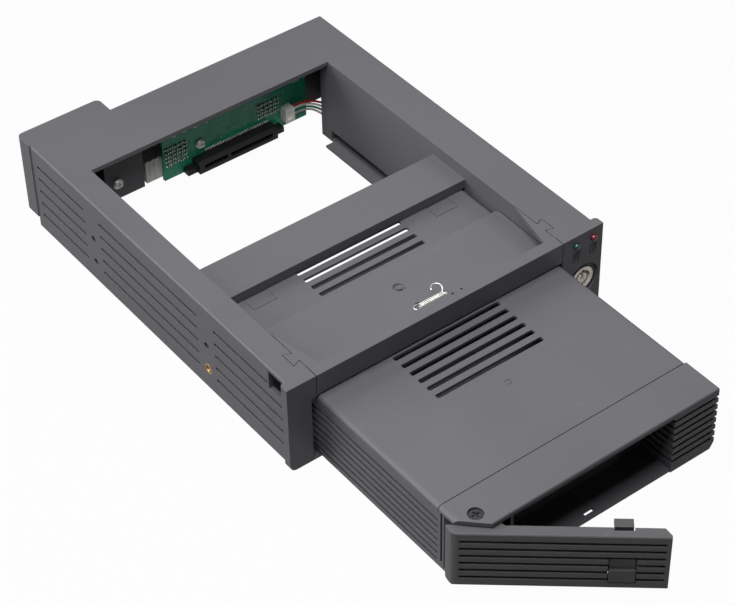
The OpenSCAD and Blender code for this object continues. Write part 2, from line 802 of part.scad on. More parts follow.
module lock_clip() {
    x0 = bay_x1 + shell_t + joint_gap;
    x1 = right_x - shell_t - joint_gap;
    color(steel) difference() {
        block([x0, clip_y, lock_z - lock_r - clip_down], [x1, clip_y + clip_t, lock_z + lock_r + clip_up]);
        rod_y(lock_x, clip_y - over, clip_y + clip_t + over, lock_z, lock_r - clip_neck + run_gap);
        block([lock_x - lock_r + clip_neck - run_gap, clip_y - over, lock_z - lock_r - clip_down - over],
            [lock_x + lock_r - clip_neck + run_gap, clip_y + clip_t + over, lock_z]);
    }
}

plug_tail_r = 2;
plug_face_y = barrel_face_y + plug_sunk;
hub_share = 1.3;
plug_body_y = barrel_face_y + keyway_len;
module lock_plug() {
    color(nickel) difference() {
        union() {
            rod_y(lock_x, plug_face_y, plug_body_y + joint_gap, lock_z, keyway_in);
            rod_y(lock_x, plug_body_y, barrel_end_y, lock_z, keyway_out - run_gap);
            rod_y(lock_x, barrel_end_y - joint_gap, cam_y + cam_t, lock_z, plug_tail_r);
        }
        // Notch in the middle of the face
        block([lock_x - tick_w, plug_face_y - over, lock_z],
            [lock_x + tick_w, plug_face_y + 2 * tick_w, lock_z + keyway_in + over]);
        rod_y(lock_x, plug_face_y - over, plug_face_y + 2 * tick_w, lock_z, tick_w * hub_share);
        rod_y(lock_x, cam_y + cam_t - cam_screw_len, cam_y + cam_t + over, lock_z, cam_screw_r);
    }
}

cam_screw_r = 1;
cam_screw_head_r = 2.9;
cam_screw_head_h = 1.4;
cam_screw_len = 5;
module lock_cam() {
    color(steel) intersection() {
        difference() {
            union() {
                rod_y(lock_x, cam_y, cam_y + cam_t, lock_z, cam_w / 2);
                block([lock_x - cam_w / 2, cam_y, lock_z],
                    [lock_x + cam_w / 2, cam_y + cam_t, lock_z + cam_reach]);
            }
            rod_y(lock_x, cam_y - over, cam_y + cam_t + over, lock_z, plug_tail_r);
        }
        rod_y(lock_x, cam_y - over, cam_y + cam_t + over, lock_z, cam_reach);
    }
}

module cam_screw() {
    color(steel) translate([lock_x, cam_y + cam_t, lock_z]) rotate([-90, 0, 0])
        pan_screw(cam_screw_head_r, cam_screw_head_h, cam_screw_r, cam_screw_len);
}

// Lamps

lamp_foot_r = 1.75;
lamp_foot_len = 1;
lamp_proud = 0.3;
lamp_front_y = front_y - lamp_proud;
lamp_leg_w = 0.45;
lamp_leg_at = 0.9;
lamp_leg_end = 4;

module lamp(x) {
    rod_y(x, lamp_front_y, joint_gap, lamp_z, lamp_r);
    translate([x, lamp_front_y, lamp_z]) intersection() {
        sphere(lamp_r);
        block([-2 * lamp_r, -2 * lamp_r, -2 * lamp_r], [2 * lamp_r, 0, 2 * lamp_r]);
    }
    rod_y(x, 0, lamp_foot_len, lamp_z, lamp_foot_r);
    for (dz = [-lamp_leg_at, lamp_leg_at])
        block([x - lamp_leg_w / 2, lamp_foot_len - joint_gap, lamp_z + dz - lamp_leg_w / 2],
            [x + lamp_leg_w / 2, lamp_leg_end, lamp_z + dz + lamp_leg_w / 2]);
}

module lamp_green() { color([0.15, 0.45, 0.35]) lamp(lamp_green_x); }
module lamp_red() { color([0.75, 0.15, 0.25]) lamp(lamp_red_x); }

// Leads from the board's plug to the lamps, held in the right rail all the way

lead_r = 0.5;
lead_sides = 8;
plug_out = 27.8;
plug_x1 = right_x - plug_out;
plug_w = 4.6;
plug_len = 4.4;
plug_z0 = 8.6;
plug_h = 6.6;
plug_rim_share = 0.2;
plug_key_share = 0.3;
plug_y = board_y - plug_len / 2;
// Points behind the tray: from the right mounting side, from the board's face, height
rear_red = [[-27.8, -2, 14.3], [-24.5, -1.8, 14.1], [-20.5, -1.4, 13.2], [-17, -1.4, 11.9],
    [-13.6, -2.4, 10.4],
    [-10.8, -5, 9], [-8.8, -9.4, 7.4]];
rear_white = [[-27.8, -2, 12.9], [-24.5, -1.8, 12.7], [-20.5, -1.4, 11.8], [-17, -1.5, 10.5],
    [-13.9, -2.8, 9],
    [-11.6, -5.8, 7.6], [-10.1, -10, 6.2]];
rear_green = [[-27.8, -2, 11.5], [-24.5, -1.8, 11.3], [-20.5, -1.4, 10.4], [-17, -1.6, 9.1],
    [-14.2, -3.2, 7.6],
    [-12.4, -6.6, 6.2], [-11.4, -10.8, 5]];
rear_grey = [[-27.8, -2, 10.1], [-24.5, -1.8, 9.9], [-20.5, -1.4, 9], [-17, -1.7, 7.7], [-14.6, -3.6, 6.2],
    [-13.2, -7.4, 4.8], [-12.6, -11.6, 3.8]];
// Points in the right rail: from the right mounting side, from the bezel's back, height
rail_red = [[-8.2, 144, 5.8], [-7.4, 136, 3.8], [-7, 126, 2.2], [-7, 100, 2], [-7, 70, 2], [-7, 46, 2.2],
    [-6.8, 36, 6], [-6, 29, 14], [-4.6, 24, 24], [-3.4, 19, 32], [-2.7, 13, 36.6]];
rail_white = [[-9.5, 144, 4.9], [-8.7, 136, 3.3], [-8.3, 126, 2], [-8.3, 100, 1.8], [-8.3, 70, 1.8],
    [-8.3, 46, 2],
    [-8.1, 36, 6], [-7.3, 29, 14], [-5.9, 24, 24], [-4.7, 19, 31.6], [-3.9, 13, 35.2]];
rail_green = [[-10.8, 144, 4], [-10, 136, 2.9], [-9.6, 126, 1.9], [-9.6, 100, 1.7], [-9.6, 70, 1.7],
    [-9.6, 46, 1.9],
    [-9.6, 37, 6], [-9.8, 30.6, 14], [-10.4, 26, 24], [-11, 20.6, 32], [-11.2, 14, 36.6]];
rail_grey = [[-12.1, 144, 3.1], [-11.3, 136, 2.4], [-10.9, 126, 1.7], [-10.9, 100, 1.6], [-10.9, 70, 1.6],
    [-10.9, 46, 1.8], [-10.9, 38, 6], [-11.1, 31.8, 14], [-11.7, 27.2, 24], [-12.3, 21.8, 31.4],
        [-12.5, 15, 35]];
// Last points before a lamp's leg: beside the lamp's axis, from the bezel's back
upper_end = [[0, 8.4], [0, 4]];
lower_end = [[-0.5, 8.8], [0, 4]];

function route(rear, rail, lamp_x, end, leg_z) = concat(
    [for (p = rear) [right_x + p[0], board_y + p[1], p[2]]], [for (p = rail) [right_x + p[0], p[1], p[2]]],
    [for (p = end) [lamp_x + p[0], p[1], leg_z]]);
route_red = route(rear_red, rail_red, lamp_red_x, upper_end, lamp_z + lamp_leg_at);
route_white = route(rear_white, rail_white, lamp_red_x, lower_end, lamp_z - lamp_leg_at);
route_green = route(rear_green, rail_green, lamp_green_x, upper_end, lamp_z + lamp_leg_at);
route_grey = route(rear_grey, rail_grey, lamp_green_x, lower_end, lamp_z - lamp_leg_at);

module lead(points) {
    tube(points, lead_r, lead_sides, [0, 0, 1]);
}

module lead_red() { color([0.8, 0.12, 0.12]) lead(route_red); }
module lead_white() { color([0.9, 0.9, 0.88]) lead(route_white); }
module lead_green() { color([0.05, 0.45, 0.25]) lead(route_green); }
module lead_grey() { color([0.75, 0.72, 0.7]) lead(route_grey); }

module lamp_plug() {
    color(nylon_white) difference() {
        block([plug_x1 - plug_w, board_y - plug_len, plug_z0], [plug_x1, board_y, plug_z0 + plug_h]);
        block([plug_x1 - plug_w * (1 - plug_rim_share), board_y - plug_len - over,
            plug_z0 + plug_h * plug_rim_share],
            [plug_x1 - plug_w * plug_key_share, board_y - plug_len * (1 - plug_rim_share),
             plug_z0 + plug_h * (1 - plug_rim_share)]);
    }
}

// Circuit board and its parts

module circuit_board() {
    color(board_green) difference() {
        block([board_x0, board_y, board_z0], [board_x1, board_back_y, board_z0 + board_h]);
        for (p = board_screw_at) rod_y(p[0], board_y - over, board_back_y + over, p[1],
            board_screw_r + joint_gap);
    }
}

board_screw_len = 6;
board_screw_head_h = 1.6;
module board_screws() {
    color(nickel) for (p = board_screw_at) translate([p[0], board_y, p[1]]) rotate([90, 0, 0])
        pan_screw(board_screw_head_r, board_screw_head_h, board_screw_r, board_t + board_screw_len);
}

// Small parts in two groups: columns, rows, first place from the board's lower left corner
chip_w = 1.5;
chip_h = 0.9;
chip_t = 0.6;
chip_pitch_x = 2.3;
chip_pitch_z = 2.1;
left_chips_at = [1, 7];
right_chips_at = [48.1, 9.5];
tall_chip_t = 0.9;
left_columns = 5;
left_rows = 5;
right_columns = 5;
right_rows = 4;
module chip_group(at, columns, rows) {
    for (i = [0:columns - 1], j = [0:rows - 1]) {
        t = (i + j) % 3 == 0 ? tall_chip_t : chip_t;
        translate([board_x0 + at[0] + i * chip_pitch_x, board_y - t, board_z0 + at[1] + j * chip_pitch_z])
            cube([chip_w, t, chip_h]);
    }
}

module board_parts() {
    color([0.3, 0.28, 0.25]) {
        chip_group(left_chips_at, left_columns, left_rows);
        chip_group(right_chips_at, right_columns, right_rows);
    }
}

// Socket that the drive plugs into

socket_in = 19.2;
socket_w = 40.4;
socket_x0 = board_x1 - socket_in - socket_w;
socket_len = 5.8;
socket_y = board_y - socket_len;
socket_z0 = 4.5;
socket_h = 5.6;
socket_bevel_share = 0.25;
socket_slot_h = 2.2;
socket_slot_len = 3.8;
socket_end_t = 2.6;
socket_rib_share = 0.36;
socket_rib_w = 1.4;
ear_len = 4.6;

module drive_socket() {
    slot_z = socket_z0 + (socket_h - socket_slot_h) / 2;
    chamfer = socket_h * socket_bevel_share;
    color(dark_abs) difference() {
        union() {
            prism_x(socket_x0, socket_x0 + socket_w)
                polygon([[socket_y, socket_z0], [board_y, socket_z0], [board_y, socket_z0 + socket_h],
                    [socket_y + chamfer, socket_z0 + socket_h],
                        [socket_y, socket_z0 + socket_h - chamfer]]);
            for (x = [socket_x0 - ear_len, socket_x0 + socket_w - joint_gap])
                block([x, board_y - socket_slot_len, socket_z0 + joint_gap],
                    [x + ear_len + joint_gap, board_y, socket_z0 + socket_h / 2]);
        }
        block([socket_x0 + socket_end_t, socket_y - over, slot_z],
            [socket_x0 + socket_rib_share * socket_w, socket_y + socket_slot_len, slot_z + socket_slot_h]);
        block([socket_x0 + socket_rib_share * socket_w + socket_rib_w, socket_y - over, slot_z],
            [socket_x0 + socket_w - socket_end_t, socket_y + socket_slot_len, slot_z + socket_slot_h]);
    }
}

contact_pitch = 1.27;
contact_w = 0.7;
contact_t = 0.3;
short_row = 7;
long_row = 15;
pin_row = 26;
pin_out = 0.5;
pin_up = 0.4;
pin_h = 0.9;
module contact_row(x0, count) {
    slot_z = socket_z0 + (socket_h - socket_slot_h) / 2;
    for (i = [0:count - 1]) block([x0 + i * contact_pitch, socket_y + contact_w,
        slot_z + socket_slot_h - contact_t],
        [x0 + i * contact_pitch + contact_w, socket_y + socket_slot_len, slot_z + socket_slot_h]);
}

solder_in = 6.8;
solder_x0 = socket_x0 + solder_in;
solder_z = socket_z0 + socket_h + pin_up;
module drive_socket_contacts() {
    color(gold_tone) {
        contact_row(socket_x0 + socket_end_t + contact_pitch, short_row);
        contact_row(socket_x0 + socket_rib_share * socket_w + socket_rib_w + contact_pitch, long_row);
        // Solder joints in a row over the socket
        for (i = [0:pin_row - 1]) block([solder_x0 + i * contact_pitch, board_y - pin_out, solder_z],
            [solder_x0 + i * contact_pitch + contact_w, board_y, solder_z + pin_h]);
    }
}

// Ports at the rear

port_wall = 1;
power_pin_r = 1;
power_pins = 4;
power_pin_pitch = 5.08;
power_depth = 8;
port_proud = 0.5;
port_clip = 2;
port_end_y = body_len + port_proud;
port_rib_pitch = 2.6;
port_rib_w = 0.9;
port_rib_d = 0.6;

module power_port() {
    color(nylon_white) difference() {
        block([power_x0, board_back_y, power_z0], [power_x0 + power_w, port_end_y, power_z0 + power_h]);
        difference() {
            block([power_x0 + port_wall, port_end_y - power_depth, power_z0 + port_wall],
                [power_x0 + power_w - port_wall, port_end_y + over, power_z0 + power_h - port_wall]);
            // Clipped corners that let the plug in one way round
            for (side = [[power_x0 + port_wall, 1], [power_x0 + power_w - port_wall, -1]])
                prism_y(port_end_y - power_depth - over, port_end_y + 2 * over)
                    polygon([[side[0] - side[1] * over, power_z0 + power_h - port_wall - port_clip],
                        [side[0], power_z0 + power_h - port_wall - port_clip],
                        [side[0] + side[1] * port_clip, power_z0 + power_h - port_wall],
                        [side[0] + side[1] * port_clip, power_z0 + power_h],
                        [side[0] - side[1] * over, power_z0 + power_h]]);
        }
        // Upright grooves in the end beside the board
        for (i = [0:2]) block([power_x0 + port_wall + i * port_rib_pitch, board_back_y - over,
            power_z0 + port_wall],
            [power_x0 + port_wall + i * port_rib_pitch + port_rib_w, board_back_y + port_rib_d,
                power_z0 + power_h + over]);
    }
}

module power_port_pins() {
    mid_x = power_x0 + power_w / 2;
    color(gold_tone) for (i = [0:power_pins - 1])
        rod_y(mid_x + (i - (power_pins - 1) / 2) * power_pin_pitch, port_end_y - power_depth,
            port_end_y - port_wall,
            power_z0 + power_h / 2, power_pin_r);
}

data_tongue_h = 1.2;
data_depth = 5;
module data_port() {
    tongue_z = data_z0 + data_h / 2;
    color(dark_abs) difference() {
        block([data_x0, board_back_y, data_z0], [data_x0 + data_w, port_end_y, data_z0 + data_h]);
        difference() {
            block([data_x0 + port_wall, port_end_y - data_depth, data_z0 + port_wall],
                [data_x0 + data_w - port_wall, port_end_y + over, data_z0 + data_h - port_wall]);
            block([data_x0 + 2 * port_wall, port_end_y - data_depth - over, tongue_z - data_tongue_h / 2],
                [data_x0 + data_w - 2 * port_wall, port_end_y - port_wall / 2,
                    tongue_z + data_tongue_h / 2]);
        }
    }
}

module data_port_contacts() {
    tongue_z = data_z0 + data_h / 2;
    color(gold_tone) for (i = [0:short_row - 1])
        block([data_x0 + 3 * port_wall + i * contact_pitch, port_end_y - data_depth,
            tongue_z + data_tongue_h / 2],
            [data_x0 + 3 * port_wall + i * contact_pitch + contact_w, port_end_y - port_wall,
             tongue_z + data_tongue_h / 2 + contact_t]);
}

corner_screw_r = 1.5;
corner_screw_head_r = 2.4;
corner_screw_len = 8;
module corner_screw() {
    color(nickel) translate([corner_screw_x, panel_y, corner_screw_z]) rotate([90, 0, 0])
        pan_screw(corner_screw_head_r, board_screw_head_h, corner_screw_r, corner_screw_len);
}

module brass_inserts() {
    color(brass_tone) difference() {
        union() {
            rod_x(left_x, left_x + insert_len, hole_y, hole_z, insert_r);
            rod_x(right_x - insert_len, right_x, hole_y, hole_z, insert_r);
        }
        rod_x(left_x - over, left_x + insert_len + over, hole_y, hole_z, hole_r);
        rod_x(right_x - insert_len - over, right_x + over, hole_y, hole_z, hole_r);
    }
}

// Tray

pivot_x = tray_x0 + pivot_in;
pivot_y = tray_y0 + pivot_back;
end_gap = 0.05;
end_r = pivot_in - end_gap;
lip_r = 10.8;
lip_reach = 10.3;
lip_back = 3.2;
lip_round = 4.4;
wedge_angle = 138;
corner_cut_x = 9.5;
corner_cut_y = 9.5;
bulkhead_t = 1.8;
bulkhead_gap = 0.4;
bulkhead_y = nose_y - bulkhead_gap - bulkhead_t;
rib_in = 22.5;
rib_x = tray_x0 + rib_in;
rib_t = 1.4;
rib_back = 5.4;
wall_ahead = 3;
floor_inset = 0.5;
end_slot_y = 1.3;
end_slot_w = 1;
end_slot_d = 1.6;
end_slot_up = 2;
post_pocket_w = 11;
post_pocket_share = 0.5;
shank_floor = 0.4;
corner_bevel_x = 2.4;
corner_bevel_z = 3;
catch_x0 = 47.2;
catch_x1 = 51.7;
catch_y0 = 2.5;
catch_y1 = 4.1;
strip_x0 = 47.5;
strip_x1 = 50.5;
strip_y0 = 9;
strip_d = 0.5;
guide_w = 3.9;
guide_h = 5.6;
screw_head_r = 2.5;
screw_head_h = 1;
screw_sunk = 0.5;
screw_seat_r = 3;
boss_side = 3.4;
boss_h = 1.6;
tray_fine_low_z = 3.8;
tray_fine_pitch = 3.33;
tray_fine_count = 7;
lock_channel_d = 1.5;
lock_stop = 3;
slot_in = 33.2;
slot_front = 42.4;
slot_rear = 42.6;
slot_round_share = 0.3;
slot_x0 = tray_x0 + slot_in;
slot_front_y = nose_y + slot_front;
slot_rear_y = tray_y1 - slot_rear;
slots_front = 6;
slots_rear = 6;

// Front left corner that is cut off over the handle's rounded end
module corner_cut(z0, z1) {
    translate([0, 0, z0]) linear_extrude(z1 - z0)
        polygon([[tray_x0 - over, tray_y0 - over], [tray_x0 + corner_cut_x, tray_y0 - over],
            [tray_x0 + corner_cut_x, tray_y0], [tray_x0, tray_y0 + corner_cut_y],
                [tray_x0 - over, tray_y0 + corner_cut_y]]);
}

// Row of slots through a plate, first slot's middle at y
module slot_row(y, count, z0, z1) {
    for (i = [0:count - 1]) translate([0, 0, z0]) linear_extrude(z1 - z0)
        all_rounded(slot_x0, slot_x0 + slot_len, y + i * slot_pitch - slot_w / 2,
            y + i * slot_pitch + slot_w / 2,
            slot_w * slot_round_share);
}

module tray_side_grooves() {
    for (i = [0:tray_fine_count - 1]) {
        z = tray_fine_low_z + i * tray_fine_pitch;
        block([tray_x0 - over, nose_y + seam_gap, z - fine_h / 2],
            [tray_x0 + fine_d, tray_y1 + over, z + fine_h / 2]);
        block([tray_x1 - fine_d, nose_y + seam_gap, z - fine_h / 2],
            [tray_x1 + over, tray_y1 + over, z + fine_h / 2]);
    }
}

module post_grooves() {
    for (i = [0:fine_count]) {
        z = fine_low_z + i * fine_pitch - fine_h / 2;
        block([post_x - over, tray_y0 - over, z], [tray_x1 + over, tray_y0 + fine_d, z + fine_h]);
        block([post_x - over, tray_y0 - over, z], [post_x + fine_d, nose_y - fine_h, z + fine_h]);
        block([tray_x1 - fine_d, tray_y0 - over, z], [tray_x1 + over, nose_y - fine_h, z + fine_h]);
    }
}

// Channel and pocket in the right side that the lock's cam enters
module lock_channel() {
    rise = sqrt(pow(cam_reach, 2) - pow(lock_x - tray_x1, 2)) + swing_gap;
    home_y0 = cam_y - tray_out - swing_gap;
    home_y1 = cam_y + cam_t - tray_out + swing_gap;
    block([tray_x1 - lock_channel_d, home_y0, lock_z - rise], [tray_x1 + over, home_y1, lock_z + rise]);
    block([tray_x1 - lock_channel_d, home_y1 + lock_stop, lock_z - rise],
        [tray_x1 + over, tray_y1 + over, lock_z + rise]);
}

module tray_base() {
    color(black_abs) difference() {
        union() {
            // Floor
            block([tray_x0, tray_y0 + floor_inset, tray_z0], [tray_x1, tray_y1, floor_z]);
            // Side walls
            block([tray_x0, bulkhead_y - wall_ahead, tray_z0], [tray_x0 + tray_wall, tray_y1, wall_top]);
            block([tray_x1 - tray_wall, tray_y0, tray_z0], [tray_x1, tray_y1, wall_top]);
            block([tray_x0, bulkhead_y - wall_ahead, tray_z0],
                [tray_x0 + tray_wall, nose_y, nose_z + joint_gap]);
            block([tray_x1 - tray_wall, tray_y0, tray_z0], [tray_x1, nose_y, nose_z + joint_gap]);
            // Guides that hold the drive sideways
            block([tray_x0 + tray_wall - joint_gap, nose_y, floor_z - joint_gap],
                [tray_x0 + tray_wall + guide_w, tray_y1, floor_z + guide_h]);
            block([tray_x1 - tray_wall - guide_w, nose_y, floor_z - joint_gap],
                [tray_x1 - tray_wall + joint_gap, tray_y1, floor_z + guide_h]);
            // Bulkhead between the handle's recess and the drive
            block([tray_x0, bulkhead_y, floor_z - joint_gap],
                [tray_x1, bulkhead_y + bulkhead_t, nose_z + joint_gap]);
            // Rib beside the handle's pivot
            block([rib_x, tray_y0 + rib_back, floor_z - joint_gap],
                [rib_x + rib_t, bulkhead_y + joint_gap, nose_z + joint_gap]);
            // Grooved post
            block([post_x, tray_y0, tray_z0], [tray_x1, bulkhead_y + joint_gap, nose_z + joint_gap]);
            // Top plate of the nose
            prism_y(tray_y0, nose_y) left_rounded(tray_x0, tray_x1, nose_z, tray_z1, top_r);
            // Boss under the handle
            rod_z(pivot_x, pivot_y, tray_z0, floor_z + boss_h, boss_side);
        }
        corner_cut(tray_z0 - over, tray_z1 + over);
        // Room for the handle's rounded end
        difference() {
            union() {
                rod_z(pivot_x, pivot_y, floor_z, nose_z, end_r + swing_gap);
                intersection() {
                    rod_z(pivot_x, pivot_y, floor_z, nose_z, lip_r + swing_gap);
                    translate([pivot_x, pivot_y, floor_z]) linear_extrude(nose_z - floor_z)
                        polygon([[0, 0], [2 * lip_r * cos(wedge_angle), 2 * lip_r * sin(wedge_angle)],
                            [-3 * lip_r, 0],
                            [-2 * lip_r, -3 * lip_r], [0, -2 * lip_r]]);
                }
            }
            rod_z(pivot_x, pivot_y, floor_z - over, floor_z + boss_h, boss_side);
        }
        // Upright slot in the side wall behind the handle's end
        block([tray_x0 - over, nose_y - end_slot_y - end_slot_w, floor_z + end_slot_up],
            [tray_x0 + end_slot_d, nose_y - end_slot_y, nose_z - joint_gap]);
        // Hollow of the post, open below
        block([post_x + shell_t, tray_y0 + shell_t, tray_z0 - over],
            [tray_x1 - tray_wall, bulkhead_y - joint_gap, nose_z]);
        // Shallow pocket in the bulkhead beside the post
        block([post_x - post_pocket_w, bulkhead_y - over, floor_z],
            [post_x, bulkhead_y + bulkhead_t * post_pocket_share, nose_z]);
        rod_z(pivot_x, pivot_y, tray_z1 - screw_head_h - screw_sunk, tray_z1 + over, screw_seat_r);
        rod_z(pivot_x, pivot_y, tray_z0 + shank_floor, tray_z1 + over, pivot_r);
        tray_side_grooves();
        post_grooves();
        lock_channel();
        // Bevel along the top front edge
        prism_x(tray_x0 - over, tray_x1 + over) polygon([[tray_y0 - over, tray_z1 - fine_bevel - over],
            [tray_y0 - over, tray_z1 + over], [tray_y0 + fine_bevel + over, tray_z1 + over]]);
        // Chamfer of the lower right corner
        prism_y(tray_y0 - over, nose_y - fine_h) polygon([[tray_x1 - corner_bevel_x, tray_z0 - over],
            [tray_x1 + over, tray_z0 - over], [tray_x1 + over, tray_z0 + corner_bevel_z],
                [tray_x1, tray_z0 + corner_bevel_z]]);
        // Catch slot and groove in the floor of the recess
        block([pivot_x + catch_x0, tray_y0 + catch_y0, tray_z0 - over],
            [pivot_x + catch_x1, tray_y0 + catch_y1, floor_z + over]);
        block([pivot_x + strip_x0, tray_y0 + strip_y0, floor_z - strip_d],
            [pivot_x + strip_x1, bulkhead_y + joint_gap, floor_z + over]);
        // Cooling slots under the drive
        slot_row(slot_front_y, slots_front, tray_z0 - over, floor_z + over);
        slot_row(slot_rear_y, slots_rear, tray_z0 - over, floor_z + over);
    }
}

cover_lip_t = 1;
cover_lip_h = 1.4;
mark_w = 11;
mark_l = 7;
mark_line = 0.35;
mark_d = 0.25;
dimple_r = 1.4;
dimple_knob_share = 0.6;
dimple_in = 58.6;
dimple_back = 32.2;
mark_right = 19.5;
mark_left = 8.5;
mark_back = 24.2;

// Thin engraved rectangle
module mark_frame(x, y) {
    difference() {
        block([x, y, tray_z1 - mark_d], [x + mark_w, y + mark_l, tray_z1 + over]);
        block([x + mark_line, y + mark_line, tray_z1 - mark_d - over],
            [x + mark_w - mark_line, y + mark_l - mark_line, tray_z1 + 2 * over]);
    }
}

module tray_cover() {
    y0 = nose_y + seam_gap;
    color(black_abs) difference() {
        union() {
            difference() {
                prism_y(y0, tray_y1) top_rounded(tray_x0, tray_x1, flange_z, tray_z1, top_r);
                block([tray_x0 + flange_w, y0 - over, flange_z - over],
                    [tray_x1 - flange_w, tray_y1 + over, cover_z]);
            }
            for (x = [tray_x0 + tray_wall + 2 * joint_gap,
                tray_x1 - tray_wall - 2 * joint_gap - cover_lip_t])
                block([x, y0 + cover_lip_h, flange_z - cover_lip_h],
                    [x + cover_lip_t, tray_y1, cover_z + joint_gap]);
        }
        slot_row(slot_front_y, slots_front, cover_z - over, tray_z1 + over);
        slot_row(slot_rear_y, slots_rear, cover_z - over, tray_z1 + over);
        difference() {
            rod_z(tray_x0 + dimple_in, nose_y + dimple_back, tray_z1 - mark_d, tray_z1 + over, dimple_r);
            rod_z(tray_x0 + dimple_in, nose_y + dimple_back, cover_z, tray_z1 + 2 * over,
                dimple_r * dimple_knob_share);
        }
        mark_frame(tray_x1 - mark_right, tray_y1 - mark_back);
        mark_frame(tray_x0 + mark_left, tray_y1 - mark_back);
    }
}

module pivot_screw() {
    shank_len = tray_h - screw_head_h - screw_sunk - shank_floor - joint_gap;
    color(dark_abs) translate([pivot_x, pivot_y, tray_z1 - screw_head_h - screw_sunk]) difference() {
        union() {
            cylinder(h = screw_head_h, r = screw_head_r);
            translate([0, 0, -shank_len]) cylinder(h = shank_len, r = pivot_r);
        }
        translate([0, 0, screw_head_h * recess_share]) cross_recess(screw_head_r, screw_head_h);
    }
}

// Handle, drawn closed with its pivot at the origin

handle_under = 0.2;
handle_z0 = floor_z + handle_under;
handle_z1 = handle_z0 + handle_h;
handle_fine_low_z = 7;
handle_fine_pitch = 3.56;
handle_fine_u0 = -5.5;
handle_fine_end = 1.6;
end_bevel_u = 2.2;
end_bevel_v = 3.3;
plate_root = 2;
root_share = 0.8;
latch_x0 = latch_at - latch_w / 2;
latch_x1 = latch_at + latch_w / 2;
latch_foot = 2.8;
latch_top = 15.8;
latch_hole_z0 = handle_z0 + latch_foot;
latch_hole_top = handle_z0 + latch_top;
latch_gap = 0.3;
latch_foot_gap = 0.6;
latch_ear_gap = 0.12;
latch_pin_down = 0.9;
latch_pin_behind = 1.15;
latch_pin_z = latch_hole_top - latch_pin_down;
latch_pin_y = -handle_front + handle_t + latch_pin_behind;
latch_pin_r = 0.6;
latch_ear_t = 1.2;
latch_ear_r = 1.2;
latch_arm_t = 1.3;
latch_arm_y = latch_pin_y - latch_arm_t / 2;
latch_relief = 1.4;
latch_flange = 0.9;
tab_left = 3.3;
tab_right = 3.4;
tab_x0 = latch_at - tab_left;
tab_x1 = latch_at + tab_right;
tab_len = 3.9;
tab_t = 1.7;

// Turns what is drawn closed to where the handle stands
module at_pivot() {
    translate([pivot_x, pivot_y, 0]) rotate([0, 0, -handle_angle]) children();
}

module handle_plan() {
    back = -handle_front + handle_t;
    intersection() {
        circle(end_r);
        translate([-2 * end_r, -handle_front]) square([4 * end_r, 4 * end_r]);
    }
    // Lip that reaches past the tray's side when the handle is closed
    intersection() {
        circle(lip_r);
        all_rounded(-lip_reach, end_r, -handle_front, 2 * lip_round, lip_round);
        translate([-2 * lip_r, -handle_front]) square([2 * lip_r, handle_front - lip_back]);
    }
    polygon([[-end_bevel_u, -handle_front], [handle_reach, -handle_front],
        [handle_reach, back - end_bevel_v],
        [handle_reach - end_bevel_u, back], [end_r + plate_root, back], [end_r * root_share, 0],
            [-end_bevel_u, 0]]);
}

module handle() {
    back = -handle_front + handle_t;
    color(black_abs) at_pivot() difference() {
        union() {
            translate([0, 0, handle_z0]) linear_extrude(handle_h) handle_plan();
            // Ears that hold the latch's pin
            for (x = [latch_x0 - latch_ear_gap - latch_ear_t, latch_x1 + latch_ear_gap]) {
                rod_x(x, x + latch_ear_t, latch_pin_y, latch_pin_z, latch_ear_r);
                block([x, back - joint_gap, latch_pin_z - latch_ear_r],
                    [x + latch_ear_t, latch_pin_y, latch_pin_z + latch_ear_r]);
            }
        }
        rod_z(0, 0, handle_z0 - over, handle_z1 + over, pivot_r + run_gap);
        rod_z(0, 0, handle_z0 - over, floor_z + boss_h + swing_gap, boss_side + swing_gap);
        // Window of the latch
        block([latch_x0 - latch_gap, -handle_front - over, latch_hole_z0],
            [latch_x1 + latch_gap, back + joint_gap, latch_hole_top]);
        // Relief behind the plate for the latch's arm
        block([tab_x0 - latch_gap, back - latch_relief, latch_hole_top - over],
            [tab_x1 + latch_gap, back + over, handle_z1 + over]);
        rod_x(latch_x0 - 2 * latch_ear_t, latch_x1 + 2 * latch_ear_t, latch_pin_y, latch_pin_z,
            latch_pin_r);
        for (i = [0:fine_count - 1]) {
            z = handle_fine_low_z + i * handle_fine_pitch;
            block([handle_fine_u0, -handle_front - over, z - fine_h / 2],
                [handle_reach - handle_fine_end, -handle_front + fine_d, z + fine_h / 2]);
        }
        // Bevels along the top and the bottom of the front face
        prism_x(-2 * end_r, handle_reach + over)
            polygon([[-handle_front - over, handle_z1 - fine_bevel - over],
            [-handle_front - over, handle_z1 + over],
                [-handle_front + fine_bevel + over, handle_z1 + over]]);
        prism_x(-2 * end_r, handle_reach + over)
            polygon([[-handle_front - over, handle_z0 + fine_bevel + over],
            [-handle_front - over, handle_z0 - over],
                [-handle_front + fine_bevel + over, handle_z0 - over]]);
    }
}

